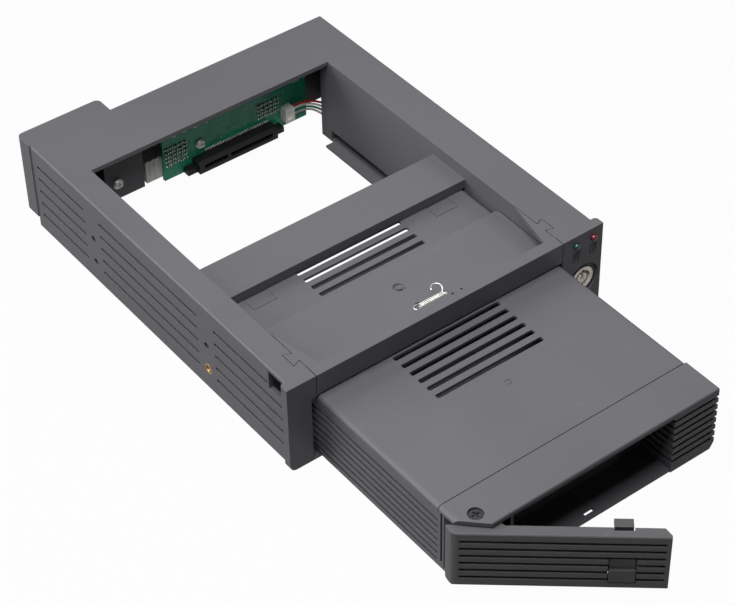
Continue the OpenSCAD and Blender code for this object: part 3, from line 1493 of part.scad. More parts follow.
button_out = 0.3;
button_t = 2.6;
button_top_gap = 1.6;
button_step_up = 6.5;
button_step_d = 1.1;
latch_core_in = 1;
tab_root = 3;
module handle_latch() {
    back = -handle_front + handle_t;
    arm_y1 = latch_arm_y + latch_arm_t;
    button_z0 = latch_hole_z0 + latch_foot_gap;
    button_z1 = latch_hole_top - button_top_gap;
    button_y = -handle_front - button_out;
    color(dark_abs) at_pivot() difference() {
        union() {
            block([latch_x0, button_y, button_z0], [latch_x1, button_y + button_t, button_z1]);
            block([latch_x0 + latch_core_in, button_y + joint_gap, button_z0],
                [latch_x1 - latch_core_in, arm_y1, button_z1]);
            // Flange behind the window
            block([latch_x0 - latch_flange, back + 2 * joint_gap, button_z0],
                [latch_x1 + latch_flange, arm_y1, latch_pin_z - latch_ear_r - latch_gap]);
            block([tab_x0, latch_arm_y, button_z1 - tab_root], [tab_x1, arm_y1, handle_z1 - swing_gap]);
            block([tab_x0, latch_arm_y, handle_z1 - swing_gap - tab_t],
                [tab_x1, latch_arm_y + tab_len, handle_z1 - swing_gap]);
            rod_x(latch_x0, latch_x1, latch_pin_y, latch_pin_z, latch_ear_r);
        }
        rod_x(latch_x0 - over, latch_x1 + over, latch_pin_y, latch_pin_z, latch_pin_r + run_gap);
        // Step across the button
        block([latch_x0 - over, button_y - over, latch_hole_z0 + button_step_up],
            [latch_x1 + over, button_y + button_step_d, button_z1 + over]);
    }
}

module latch_pin() {
    color(steel) at_pivot() rod_x(latch_x0 - latch_ear_gap - latch_ear_t,
        latch_x1 + latch_ear_gap + latch_ear_t,
        latch_pin_y, latch_pin_z, latch_pin_r);
}

bay_frame();
front_bridge();
dust_flap();
flap_hinge_pin();
flap_spring();
spring_post();
lock_barrel();
lock_clip();
lock_plug();
lock_cam();
cam_screw();
lamp_green();
lamp_red();
lead_red();
lead_white();
lead_green();
lead_grey();
lamp_plug();
circuit_board();
board_parts();
board_screws();
drive_socket();
drive_socket_contacts();
power_port();
power_port_pins();
data_port();
data_port_contacts();
corner_screw();
brass_inserts();
tray_base();
tray_cover();
pivot_screw();
handle();
handle_latch();
latch_pin();
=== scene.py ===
"""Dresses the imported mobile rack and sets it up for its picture.

The CAD nodes keep their shapes and get procedural finishes. The wires, the solder and
the inserts' threads are worked out here with numpy, as surfaces of two parameters and as
circles carried along a path.
"""

from __future__ import annotations

import json
import logging
import math
from dataclasses import dataclass, field
from enum import Enum
from typing import Mapping, Sequence

import bpy
import numpy as np
from mathutils import Matrix, Vector


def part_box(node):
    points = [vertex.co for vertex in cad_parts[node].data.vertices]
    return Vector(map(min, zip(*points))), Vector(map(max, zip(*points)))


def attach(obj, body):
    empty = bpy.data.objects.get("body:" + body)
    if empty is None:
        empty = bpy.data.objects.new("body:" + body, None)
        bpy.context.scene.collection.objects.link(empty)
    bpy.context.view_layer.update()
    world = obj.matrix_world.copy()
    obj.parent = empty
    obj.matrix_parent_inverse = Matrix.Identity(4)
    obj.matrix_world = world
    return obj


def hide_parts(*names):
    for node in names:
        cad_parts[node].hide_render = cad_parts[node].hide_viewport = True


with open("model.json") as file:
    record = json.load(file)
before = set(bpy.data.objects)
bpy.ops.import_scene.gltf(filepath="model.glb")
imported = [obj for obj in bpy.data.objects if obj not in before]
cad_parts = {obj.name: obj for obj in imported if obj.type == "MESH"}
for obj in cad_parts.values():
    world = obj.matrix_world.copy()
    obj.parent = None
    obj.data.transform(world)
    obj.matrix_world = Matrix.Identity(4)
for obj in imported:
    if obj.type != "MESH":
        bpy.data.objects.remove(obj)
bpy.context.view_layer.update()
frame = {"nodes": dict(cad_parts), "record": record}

Array = np.ndarray
Pair = tuple[float, float]
Triple = tuple[float, float, float]
Shape = tuple[Array, Array]

LOG = logging.getLogger("rack")
MM = 0.001
BOX_DIGITS = 3
WHITE = (1.0, 1.0, 1.0, 1.0)

# Numbers of a Mix node's colour sockets, which share their names with its other sockets
MIX_FACTOR, MIX_FIRST, MIX_SECOND, MIX_RESULT = 0, 6, 7, 2

# The middle of a noise texture's values, where nearly all of them lie
TONES = (0.3, 0.7)


class Graph:
    """Adds nodes to one node tree and joins them."""

    def __init__(self, tree: bpy.types.NodeTree) -> None:
        """Keeps the tree.

        Args:
            tree: The material's, world's or group's node tree.
        """
        self.tree = tree

    def feed(self, node: bpy.types.Node, feeds: Mapping[object, object]) -> None:
        """Fills a node's inputs.

        Args:
            node: The node.
            feeds: Input name or number to a value or to another node's output.
        """
        for socket, value in feeds.items():
            if isinstance(value, bpy.types.NodeSocket):
                self.tree.links.new(value, node.inputs[socket])
            else:
                node.inputs[socket].default_value = value

    def add(
        self, kind: str, feeds: Mapping[object, object] | None = None, **options: object
    ) -> bpy.types.Node:
        """Makes a node, sets its options and fills its inputs.

        Args:
            kind: The node's Blender type.
            feeds: Input name or number to a value or to another node's output.
            **options: Options of the node itself.

        Returns:
            The new node.
        """
        node = self.tree.nodes.new(kind)
        for name, value in options.items():
            setattr(node, name, value)
        self.feed(node, feeds or {})
        return node

    def math(self, operation: str, *values: object, clamp: bool = False) -> bpy.types.NodeSocket:
        """Returns the result of one Math node over the given values."""
        feeds = dict(enumerate(values))
        return self.add("ShaderNodeMath", feeds, operation=operation, use_clamp=clamp).outputs[0]

    def ramp(self, value: object, span: Pair, to: Pair = (0.0, 1.0)) -> bpy.types.NodeSocket:
        """Maps a value smoothly from one range to another.

        Args:
            value: The socket that is mapped.
            span: Where the old range starts and ends.
            to: The results there.

        Returns:
            The mapped value's socket.
        """
        (low, high), (to_low, to_high) = span, to
        feeds = {"Value": value, "From Min": low, "From Max": high, "To Min": to_low, "To Max": to_high}
        return self.add("ShaderNodeMapRange", feeds, interpolation_type="SMOOTHSTEP").outputs[0]

    def blend(self, factor: object, first: object, second: object) -> bpy.types.NodeSocket:
        """Returns first turned into second by the factor, as a colour."""
        feeds = {MIX_FACTOR: factor}
        for socket, value in ((MIX_FIRST, first), (MIX_SECOND, second)):
            feeds[socket] = value if isinstance(value, bpy.types.NodeSocket) else (*value, 1.0)
        return self.add("ShaderNodeMix", feeds, data_type="RGBA").outputs[MIX_RESULT]

    def place(self, scale: Sequence[float] = (1.0, 1.0, 1.0)) -> bpy.types.NodeSocket:
        """Returns Object coordinates, stretched by scale."""
        where = self.add("ShaderNodeTexCoord").outputs["Object"]
        return self.add("ShaderNodeMapping", {"Vector": where, "Scale": tuple(scale)}).outputs[0]

    def noise(
        self, where: object, scale: object, detail: float, **more: float
    ) -> bpy.types.NodeSocket:
        """Returns a noise texture's value; more holds its other inputs by name."""
        feeds = {"Vector": where, "Scale": scale, "Detail": detail}
        feeds.update((name.capitalize(), value) for name, value in more.items())
        return self.add("ShaderNodeTexNoise", feeds).outputs[0]

    def cells(
        self, where: object, scale: object, feature: str = "F1", metric: str = "EUCLIDEAN", **more: float
    ) -> bpy.types.NodeSocket:
        """Returns the distance in a Voronoi texture; more holds its other inputs by name."""
        feeds = {"Vector": where, "Scale": scale}
        feeds.update((name.capitalize(), value) for name, value in more.items())
        node = self.add("ShaderNodeTexVoronoi", feeds, feature=feature, distance=metric)
        return node.outputs["Distance"]

    def bump(
        self, strength: float, reach: float, height: object, normal: object
    ) -> bpy.types.NodeSocket:
        """Returns a normal bent by a height that reaches so many millimetres at full strength."""
        feeds = {"Strength": strength, "Distance": reach * MM, "Height": height, "Normal": normal}
        return self.add("ShaderNodeBump", feeds).outputs[0]


def emptied(owner: bpy.types.Material | bpy.types.World) -> Graph:
    """Returns the graph of a material or world, with no node left in it."""
    owner.use_nodes = True
    graph = Graph(owner.node_tree)
    graph.tree.nodes.clear()
    return graph


def new_material(name: str) -> tuple[bpy.types.Material, Graph, bpy.types.Node]:
    """Makes an empty material with a Principled shader joined to its output.

    Args:
        name: The material's name.

    Returns:
        The material, its graph and the Principled node.
    """
    material = bpy.data.materials.new(name)
    graph = emptied(material)
    shader = graph.add("ShaderNodeBsdfPrincipled")
    graph.add("ShaderNodeOutputMaterial", {0: shader.outputs[0]})
    return material, graph, shader


def shaded(colour: Triple, share: float) -> Triple:
    """Returns a colour darkened to a share of itself."""
    return tuple(c * share for c in colour)


class Effect(Enum):
    """The effects that several finishes share, each one node group."""

    GRAIN = "moulded grain"
    EDGES = "rounded edges"
    SCUFFS = "handling scuffs"
    BRUSHING = "drawn metal lines"


@dataclass
class Effects:
    """Builds each shared node group once and places it in materials.

    The pits and the slow tones are scaled by a share of the grain's own scale.
    """

    fine_share: float = 0.6
    pit_share: float = 0.5
    pit_scale: float = 0.55
    slow_scale: float = 0.006
    bevel_samples: int = 6
    edge_span: Pair = (0.998, 0.9)
    streak_stretch: Triple = (70.0, 900.0, 300.0)
    streak_turn: Triple = (0.0, 0.0, 0.5)
    streak_span: Pair = (0.6, 0.78)
    patch_scale: float = 38.0
    patch_span: Pair = (0.45, 0.7)
    slow_line_scale: float = 0.12
    groups: dict[Effect, bpy.types.NodeTree] = field(default_factory=dict)

    def __post_init__(self) -> None:
        """Builds all groups."""
        self.groups[Effect.GRAIN] = self._grain()
        self.groups[Effect.EDGES] = self._edges()
        self.groups[Effect.SCUFFS] = self._scuffs()
        self.groups[Effect.BRUSHING] = self._brushing()

    @staticmethod
    def _open(
        effect: Effect, inputs: Mapping[str, object], outputs: Mapping[str, str]
    ) -> tuple[Graph, dict[str, bpy.types.NodeSocket], bpy.types.Node]:
        """Starts a group with its named sockets.

        Args:
            effect: Which effect it is.
            inputs: Input name to a number's default, or to None for a vector.
            outputs: Output name to socket type.

        Returns:
            The group's graph, its inputs by name and its output node.
        """
        tree = bpy.data.node_groups.new(effect.value, "ShaderNodeTree")
        for name, value in inputs.items():
            kind = "NodeSocketVector" if value is None else "NodeSocketFloat"
            socket = tree.interface.new_socket(name=name, in_out="INPUT", socket_type=kind)
            if value is not None:
                socket.default_value = value
        for name, kind in outputs.items():
            tree.interface.new_socket(name=name, in_out="OUTPUT", socket_type=kind)
        graph = Graph(tree)
        source = graph.add("NodeGroupInput")
        return graph, {name: source.outputs[name] for name in inputs}, graph.add("NodeGroupOutput")

    def _grain(self) -> bpy.types.NodeTree:
        """Returns spark-eroded mould texture: fine pits over a slow change of tone."""
        outputs = {"Height": "NodeSocketFloat", "Tone": "NodeSocketFloat"}
        graph, given, out = self._open(Effect.GRAIN, {"Vector": None, "Scale": 2600.0}, outputs)
        where, scale = given["Vector"], given["Scale"]
        fine = graph.noise(where, scale, 2.0, roughness=0.6)
        pits = graph.cells(where, graph.math("MULTIPLY", scale, self.pit_scale), "SMOOTH_F1")
        fine_part = graph.math("MULTIPLY", fine, self.fine_share)
        pit_part = graph.math("MULTIPLY", pits, self.pit_share)
        slow = graph.noise(where, graph.math("MULTIPLY", scale, self.slow_scale), 4.0)
        graph.feed(out, {"Height": graph.math("ADD", fine_part, pit_part), "Tone": slow})
        return graph.tree

    def _edges(self) -> bpy.types.NodeTree:
        """Returns a normal that rolls over each edge, and a mask that is 1 on the roll."""
        outputs = {"Normal": "NodeSocketVector", "Edge": "NodeSocketFloat"}
        graph, given, out = self._open(Effect.EDGES, {"Radius": 0.4 * MM}, outputs)
        bevel = {"Radius": given["Radius"]}
        rolled = graph.add("ShaderNodeBevel", bevel, samples=self.bevel_samples).outputs[0]
        flat = graph.add("ShaderNodeNewGeometry").outputs["True Normal"]
        product = graph.add("ShaderNodeVectorMath", {0: rolled, 1: flat}, operation="DOT_PRODUCT")
        edge = graph.ramp(product.outputs["Value"], self.edge_span)
        graph.feed(out, {"Normal": rolled, "Edge": edge})
        return graph.tree

    def _scuffs(self) -> bpy.types.NodeTree:
        """Returns a mask of faint rubbed streaks and specks."""
        inputs = {"Vector": None, "Amount": 0.5}
        graph, given, out = self._open(Effect.SCUFFS, inputs, {"Mask": "NodeSocketFloat"})
        stretch = {"Scale": self.streak_stretch, "Rotation": self.streak_turn}
        streaked = graph.add("ShaderNodeMapping", {"Vector": given["Vector"], **stretch}).outputs[0]
        streaks = graph.ramp(graph.noise(streaked, 1.0, 3.0, distortion=0.6), self.streak_span)
        patches = graph.ramp(graph.noise(given["Vector"], self.patch_scale, 2.0), self.patch_span)
        mask = graph.math("MULTIPLY", streaks, patches)
        graph.feed(out, {"Mask": graph.math("MULTIPLY", mask, given["Amount"], clamp=True)})
        return graph.tree

    def _brushing(self) -> bpy.types.NodeTree:
        """Returns the fine lines of drawn or turned metal."""
        outputs = {"Height": "NodeSocketFloat", "Tone": "NodeSocketFloat"}
        graph, given, out = self._open(Effect.BRUSHING, {"Vector": None}, outputs)
        lines = graph.noise(given["Vector"], 1.0, 3.0, roughness=0.7)
        slow = graph.noise(given["Vector"], self.slow_line_scale, 2.0)
        graph.feed(out, {"Height": lines, "Tone": slow})
        return graph.tree

    def use(self, graph: Graph, effect: Effect, feeds: Mapping[str, object]) -> bpy.types.NodeOutputs:
        """Places an effect in a material.

        Args:
            graph: The material's graph.
            effect: Which effect.
            feeds: Its inputs.

        Returns:
            The placed group's outputs.
        """
        return graph.add("ShaderNodeGroup", feeds, node_tree=self.groups[effect]).outputs

    def edges(self, graph: Graph, radius: float) -> bpy.types.NodeOutputs:
        """Places the rounded edges with a radius in millimetres and returns their outputs."""
        return self.use(graph, Effect.EDGES, {"Radius": radius * MM})


EFFECTS = Effects()


@dataclass(frozen=True)
class MouldedPlastic:
    """Satin moulded plastic with grain, rolled edges and faint scuffs.

    Rubbed places, and the rolled edges where a highlight is painted, turn to the colour times the first
    number of paling plus the second.
    """

    name: str
    colour: Triple
    roughness: float = 0.46
    grain: float = 2600.0
    depth: float = 0.035
    edge_radius: float = 0.25
    # The share of the paler colour painted on the rolled edges as a highlight
    edge_highlight: float = 0.12
    scuffs: float = 0.25
    sheen: float = 0.3
    dark_share: float = 0.9
    paling: Pair = (1.9, 0.02)
    unevenness: float = 0.03
    scuff_roughness: float = 0.15
    bump_reach: float = 0.2

    def build(self) -> bpy.types.Material:
        """Returns the finished material."""
        material, graph, shader = new_material(self.name)
        where = graph.place()
        grain = EFFECTS.use(graph, Effect.GRAIN, {"Vector": where, "Scale": self.grain})
        edges = EFFECTS.edges(graph, self.edge_radius)
        scuffs = EFFECTS.use(graph, Effect.SCUFFS, {"Vector": where, "Amount": self.scuffs})
        darker = shaded(self.colour, self.dark_share)
        paler = tuple(min(1.0, c * self.paling[0] + self.paling[1]) for c in self.colour)
        toned = graph.blend(graph.ramp(grain["Tone"], TONES), darker, self.colour)
        # Painted highlight: the rolled edges are paled as if they caught the light; the scuffs added to
        # them are real rubbed wear
        painted_edge_highlight = graph.math("MULTIPLY", edges["Edge"], self.edge_highlight)
        highlight_and_wear = graph.math("ADD", painted_edge_highlight, scuffs["Mask"], clamp=True)
        uneven = (self.roughness - self.unevenness, self.roughness + self.unevenness)
        rubbed = graph.math("MULTIPLY", scuffs["Mask"], self.scuff_roughness)
        graph.feed(shader, {
            "Base Color": graph.blend(highlight_and_wear, toned, paler),
            "Roughness": graph.math("ADD", graph.ramp(grain["Tone"], TONES, uneven), rubbed),
            "Normal": graph.bump(self.depth, self.bump_reach, grain["Height"], edges["Normal"]),
            "Specular IOR Level": self.sheen,
        })
        return material


@dataclass(frozen=True)
class WorkedMetal:
    """Drawn, turned or plated metal with its tool lines."""

    name: str
    colour: Triple
    roughness: float = 0.3
    lines: Triple = (3000.0, 3000.0, 300.0)
    depth: float = 0.06
    edge_radius: float = 0.12
    metallic: float = 1.0
    dark_share: float = 0.72
    line_span: Pair = (0.2, 0.8)
    roughness_shares: Pair = (0.75, 1.3)
    bump_reach: float = 0.1

    def build(self) -> bpy.types.Material:
        """Returns the finished material."""
        material, graph, shader = new_material(self.name)
        brushed = EFFECTS.use(graph, Effect.BRUSHING, {"Vector": graph.place(self.lines)})
        edges = EFFECTS.edges(graph, self.edge_radius)
        darker = shaded(self.colour, self.dark_share)
        rough = tuple(self.roughness * share for share in self.roughness_shares)
        graph.feed(shader, {
            "Base Color": graph.blend(graph.ramp(brushed["Tone"], TONES), darker, self.colour),
            "Roughness": graph.ramp(brushed["Height"], self.line_span, rough),
            "Normal": graph.bump(self.depth, self.bump_reach, brushed["Height"], edges["Normal"]),
            "Metallic": self.metallic,
        })
        return material


@dataclass(frozen=True)
class GlossySkin:
    """Glossy plastic, lacquer or vinyl with a slight unevenness."""

    name: str
    colour: Triple
    roughness: float = 0.2
    mottle: float = 300.0
    depth: float = 0.03
    coat: float = 0.0
    edge_radius: float = 0.1
    dark_share: float = 0.8
    tone_span: Pair = (0.2, 0.8)
    rough_span: Pair = (0.2, 0.9)
    roughness_shares: Pair = (0.8, 1.25)
    bump_reach: float = 0.2

    def build(self) -> bpy.types.Material:
        """Returns the finished material."""
        material, graph, shader = new_material(self.name)
        feeds = {"Vector": graph.place(), "Scale": self.mottle}
        height = EFFECTS.use(graph, Effect.GRAIN, feeds)["Height"]
        edges = EFFECTS.edges(graph, self.edge_radius)
        darker = shaded(self.colour, self.dark_share)
        rough = tuple(self.roughness * share for share in self.roughness_shares)
        graph.feed(shader, {
            "Base Color": graph.blend(graph.ramp(height, self.tone_span), darker, self.colour),
            "Roughness": graph.ramp(height, self.rough_span, rough),
            "Normal": graph.bump(self.depth, self.bump_reach, height, edges["Normal"]),
            "Coat Weight": self.coat,
        })
        return material


@dataclass(frozen=True)
class SolderMask:
    """Green lacquer over copper tracks, with small vias."""

    name: str = "solder mask"
    mask: Triple = (0.004, 0.19, 0.1)
    over_copper: Triple = (0.02, 0.33, 0.18)
    bare_copper: Triple = (0.55, 0.5, 0.38)
    track_scale: float = 260.0
    track_span: Pair = (0.5, 0.56)
    stripe_stretch: Triple = (1.0, 0.0, 0.6)
    stripe_bend: float = 3.5
    stripe_span: Pair = (0.52, 0.6)
    via_scale: float = 420.0
    via_span: Pair = (0.16, 0.1)
    via_share: float = 0.8
    roughness: Pair = (0.34, 0.26)
    depth: float = 0.25
    bump_reach: float = 0.1
    edge_radius: float = 0.1

    def build(self) -> bpy.types.Material:
        """Returns the finished material."""
        material, graph, shader = new_material(self.name)
        where = graph.place((1.0, 0.0, 1.0))
        tracks = graph.cells(where, self.track_scale, metric="MANHATTAN", randomness=0.8)
        wave = {"Scale": self.track_scale, "Distortion": self.stripe_bend, "Detail": 1.0}
        wave["Vector"] = graph.place(self.stripe_stretch)
        stripes = graph.ramp(graph.add("ShaderNodeTexWave", wave).outputs["Fac"], self.stripe_span)
        copper = graph.math("MAXIMUM", stripes, graph.ramp(tracks, self.track_span))
        vias = graph.ramp(graph.cells(where, self.via_scale, randomness=1.0), self.via_span)
        bare = graph.math("MULTIPLY", vias, self.via_share)
        green = graph.blend(copper, self.mask, self.over_copper)
        edges = EFFECTS.edges(graph, self.edge_radius)
        graph.feed(shader, {
            "Base Color": graph.blend(bare, green, self.bare_copper),
            "Roughness": graph.ramp(copper, (0.0, 1.0), self.roughness),
            "Normal": graph.bump(self.depth, self.bump_reach, copper, edges["Normal"]),
        })
        return material


Finish = MouldedPlastic | WorkedMetal | GlossySkin | SolderMask

# The finish of each of the record's material slots
FINISHES: dict[str, Finish] = {
    "frame_plastic": MouldedPlastic("frame plastic", (0.1, 0.098, 0.108)),
    "bridge_plastic": MouldedPlastic("bridge plastic", (0.1, 0.098, 0.108)),
    "flap_plastic": MouldedPlastic("flap plastic", (0.104, 0.102, 0.112), roughness=0.42),
    "tray_plastic": MouldedPlastic("tray plastic", (0.098, 0.096, 0.106)),
    "cover_plastic": MouldedPlastic("cover plastic", (0.1, 0.098, 0.108), grain=3200.0),
    "handle_plastic": MouldedPlastic("handle plastic", (0.084, 0.083, 0.088)),
    "latch_plastic": MouldedPlastic("latch plastic", (0.066, 0.066, 0.07)),
    "bright_steel": WorkedMetal("bright steel", (0.8, 0.79, 0.76), metallic=0.55),
    "plated_steel": WorkedMetal("plated steel", (0.5, 0.5, 0.49), roughness=0.38, metallic=0.7),
    "black_steel": WorkedMetal("black steel", (0.03, 0.03, 0.032), roughness=0.36, metallic=0.4),
    "spring_wire": WorkedMetal("spring wire", (0.86, 0.84, 0.8), roughness=0.2, metallic=0.7),
    "lock_chrome": WorkedMetal(
        "lock chrome", (0.98, 0.92, 0.83), roughness=0.16, depth=0.02, metallic=0.5
    ),
    "green_lens": GlossySkin("green lens", (0.01, 0.06, 0.048), roughness=0.1, coat=0.5),
    "red_lens": GlossySkin("red lens", (0.17, 0.014, 0.03), roughness=0.1, coat=0.5),
    "lead_red": GlossySkin("red vinyl", (0.62, 0.04, 0.04), roughness=0.35),
    "lead_white": GlossySkin("white vinyl", (0.82, 0.81, 0.78), roughness=0.35),
    "lead_green": GlossySkin("green vinyl", (0.02, 0.26, 0.14), roughness=0.35),
    "lead_grey": GlossySkin("grey vinyl", (0.6, 0.56, 0.54), roughness=0.35),
    # its rolled edges carry a stronger painted highlight
    "white_nylon": MouldedPlastic(
        "white nylon", (0.9, 0.88, 0.82), roughness=0.4, edge_highlight=0.2, edge_radius=0.2
    ),
    "board_mask": SolderMask(),
    "chip_black": MouldedPlastic(
        "chip moulding", (0.03, 0.03, 0.03), roughness=0.5, edge_radius=0.08
    ),
    # its rolled edges carry a strong painted highlight
    "socket_black": MouldedPlastic(
        "socket plastic", (0.018, 0.018, 0.018), roughness=0.38, edge_radius=0.15, edge_highlight=0.5
    ),
    "contact_gold": WorkedMetal(
        "contact gold", (0.85, 0.62, 0.28), roughness=0.25, edge_radius=0.05
    ),
    "brass": WorkedMetal(
        "turned brass", (0.72, 0.5, 0.22), roughness=0.32, lines=(300.0, 3000.0, 3000.0)
    ),
}

TINNED = WorkedMetal("tinned copper", (0.96, 0.95, 0.92), roughness=0.25, metallic=0.1)


def box_of(node: str) -> Array:
    """Returns a CAD node's lowest and highest corners, in millimetres to the micrometre."""
    return np.round(np.array([tuple(corner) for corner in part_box(node)]) / MM, BOX_DIGITS)


def grid_faces(rings: int, sides: int) -> Array:
    """Returns the quads of a tube of rings with sides points each, as rows of four numbers."""
    i, k = np.meshgrid(np.arange(rings - 1), np.arange(sides), indexing="ij")
    a, b = i * sides + k, i * sides + (k + 1) % sides
    return np.stack([a, b, b + sides, a + sides], axis=-1).reshape(-1, 4)


def repeated(shape: Shape, centres: Array, scales: Array | float = 1.0) -> Shape:
    """Copies one shape to each centre.

    Copy i is the shape's points times row i of scales, plus row i of centres.

    Args:
        shape: The vertices round the origin and the quads.
        centres: Where the copies go, one row each.
        scales: Their scales along the three axes, one row each, or one number for all.

    Returns:
        The vertices and the quads of all copies.
    """
    points, faces = shape
    scales = np.broadcast_to(scales, centres.shape)
    copies = centres[:, None, :] + scales[:, None, :] * points[None, :, :]
    shifts = np.arange(len(centres)) * len(points)
    return copies.reshape(-1, 3), (faces[None, :, :] + shifts[:, None, None]).reshape(-1, 4)


@dataclass(frozen=True)
class Path:
    """A smooth curve through given points, in millimetres."""

    points: Array

    def sampled(self, count: int) -> Array:
        """Returns count points evenly spaced by chord length.

        Between two given points it is the cubic that meets both with the slopes there, each
        slope the mean of the two chords' slopes, the shorter chord's counting more.
        """
        p = np.asarray(self.points, dtype=float)
        step = np.linalg.norm(np.diff(p, axis=0), axis=1)
        s = np.concatenate([[0.0], np.cumsum(step)])
        chord = np.diff(p, axis=0) / step[:, None]
        slope = np.empty_like(p)
        slope[0], slope[-1] = chord[0], chord[-1]
        before, after = step[:-1, None], step[1:, None]
        slope[1:-1] = (chord[1:] * before + chord[:-1] * after) / (before + after)
        at = np.linspace(0.0, s[-1], count)
        k = np.clip(np.searchsorted(s, at, side="right") - 1, 0, len(p) - 2)
        h = step[k][:, None]
        t = ((at - s[k]) / step[k])[:, None]
        start = (2 * t**3 - 3 * t**2 + 1) * p[k] + (t**3 - 2 * t**2 + t) * h * slope[k]
        end = (3 * t**2 - 2 * t**3) * p[k + 1] + (t**3 - t**2) * h * slope[k + 1]
        return start + end


# Any direction that no wire starts along, to turn a first spoke from
SIDEWAYS = (0.31, 0.52, 0.79)

# A drawn-in end keeps this share of the radius squared, so that its last ring isn't a point
END_SHARE = 0.01


def swept_round(path: Array, radius: float, sides: int) -> Shape:
    """Sweeps a circle along a path, with both ends drawn in to a dome.

    Ring i lies in the plane across the path's direction there. Its first spoke is the last
    ring's first spoke with the part along the new direction taken away, so nothing twists.

    Args:
        path: The centre line's points, one row each.
        radius: The wire's radius.
        sides: Points in each ring.

    Returns:
        The vertices and the quads.
    """
    along = np.gradient(path, axis=0)
    along /= np.linalg.norm(along, axis=1)[:, None]
    spoke = np.empty_like(path)
    last = np.cross(along[0], SIDEWAYS)
    for i, direction in enumerate(along):
        last = last - direction * np.dot(last, direction)
        last /= np.linalg.norm(last)
        spoke[i] = last
    other = np.cross(along, spoke)
    run = np.concatenate([[0.0], np.cumsum(np.linalg.norm(np.diff(path, axis=0), axis=1))])
    from_end = np.clip(np.minimum(run, run[-1] - run) / radius, 0.0, 1.0)
    drawn = radius * np.sqrt(np.clip(1.0 - (1.0 - from_end) ** 2, END_SHARE, 1.0))
    turn = np.linspace(0.0, 2 * np.pi, sides, endpoint=False)[None, :, None]
    round_it = np.cos(turn) * spoke[:, None, :] + np.sin(turn) * other[:, None, :]
    rings = path[:, None, :] + drawn[:, None, None] * round_it
    return rings.reshape(-1, 3), grid_faces(len(path), sides)


def rounded_block(power: float, rings: int = 13, sides: int = 24) -> Shape:
    """Makes a rounded block that reaches 1 from the origin along each axis.

    It is the surface x = C(u) C(v), y = C(u) S(v), z = S(u), where C and S are the cosine
    and the sine raised to the power with their signs kept.

    Args:
        power: 1 for a ball, near 0 for a sharp box.
        rings: Points from its lowest place to its highest.
        sides: Points round it.

    Returns:
        The vertices and the quads.
    """
    u = np.linspace(-np.pi / 2, np.pi / 2, rings)[:, None]
    v = np.linspace(0.0, 2 * np.pi, sides, endpoint=False)[None, :]

    def bent(wave: Array) -> Array:
        """Returns the wave raised to the power, with its sign kept."""
        return np.sign(wave) * np.abs(wave) ** power

    waist, height = bent(np.cos(u)), bent(np.sin(u)) * np.ones_like(v)
    points = np.stack([waist * bent(np.cos(v)), waist * bent(np.sin(v)), height], axis=-1)
    return points.reshape(-1, 3), grid_faces(rings, sides)


class Form(Enum):
    """Names of the new pieces, beside the leads."""

    SPRING = "fine_flap_spring"
    CHIP_ENDS = "tinned_chip_ends"
    SOLDER = "solder_fillets"
    RINGS = "solder_rings"
    THREADS = "insert_threads"


class Wardrobe:
    """Gives each CAD node and each new piece its finish."""

    def __init__(self) -> None:
        """Builds every finish once."""
        self.materials = {slot: finish.build() for slot, finish in FINISHES.items()}
        self.tinned = TINNED.build()

    def dress_frame(self) -> None:
        """Puts each CAD node's finish in all of its material slots."""
        slots = {part["node"]: part["material_slot"] for part in frame["record"]["subparts"]}
        for name, node in frame["nodes"].items():
            node.data.materials.clear()
            node.data.materials.append(self.materials[slots[name]])
            LOG.info("dressed %s with %s", name, slots[name])

    def new_piece(
        self, name: str, shape: Shape, slot: str, finish: bpy.types.Material | None = None
    ) -> bpy.types.Object:
        """Makes a smooth new piece at the origin, finishes it and lets it ride the bay.

        Args:
            name: The piece's name.
            shape: Its vertices in millimetres and its quads.
            slot: The record's material slot that it belongs to.
            finish: Its finish, where that isn't the slot's own.

        Returns:
            The new piece, linked to the scene.
        """
        points, faces = shape
        mesh = bpy.data.meshes.new(name)
        mesh.vertices.add(len(points))
        mesh.vertices.foreach_set("co", (points * MM).ravel())
        mesh.loops.add(faces.size)
        mesh.loops.foreach_set("vertex_index", faces.ravel())
        mesh.polygons.add(len(faces))
        mesh.polygons.foreach_set("loop_start", np.arange(0, faces.size, faces.shape[1]))
        mesh.update(calc_edges=True)
        mesh.validate()
        mesh.shade_smooth()
        mesh.materials.append(finish or self.materials[slot])
        piece = bpy.data.objects.new(name, mesh)
        bpy.context.scene.collection.objects.link(piece)
        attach(piece, "bay")
        LOG.info("made %s of %d faces", name, len(mesh.polygons))
        return piece


@dataclass(frozen=True)
class Route:
    """One lead's way, through given points, in millimetres.

    The rear points are behind the tray: from the rail's right side, from the board's face,
    and the height. The rail points are in the right rail: from its right side, and Y and Z.
    The leg is 1 for the lamp's upper leg and -1 for its lower one.
    """

    node: str
    lamp: str
    leg: int
    rear: tuple[Triple, ...]
    rail: tuple[Triple, ...]


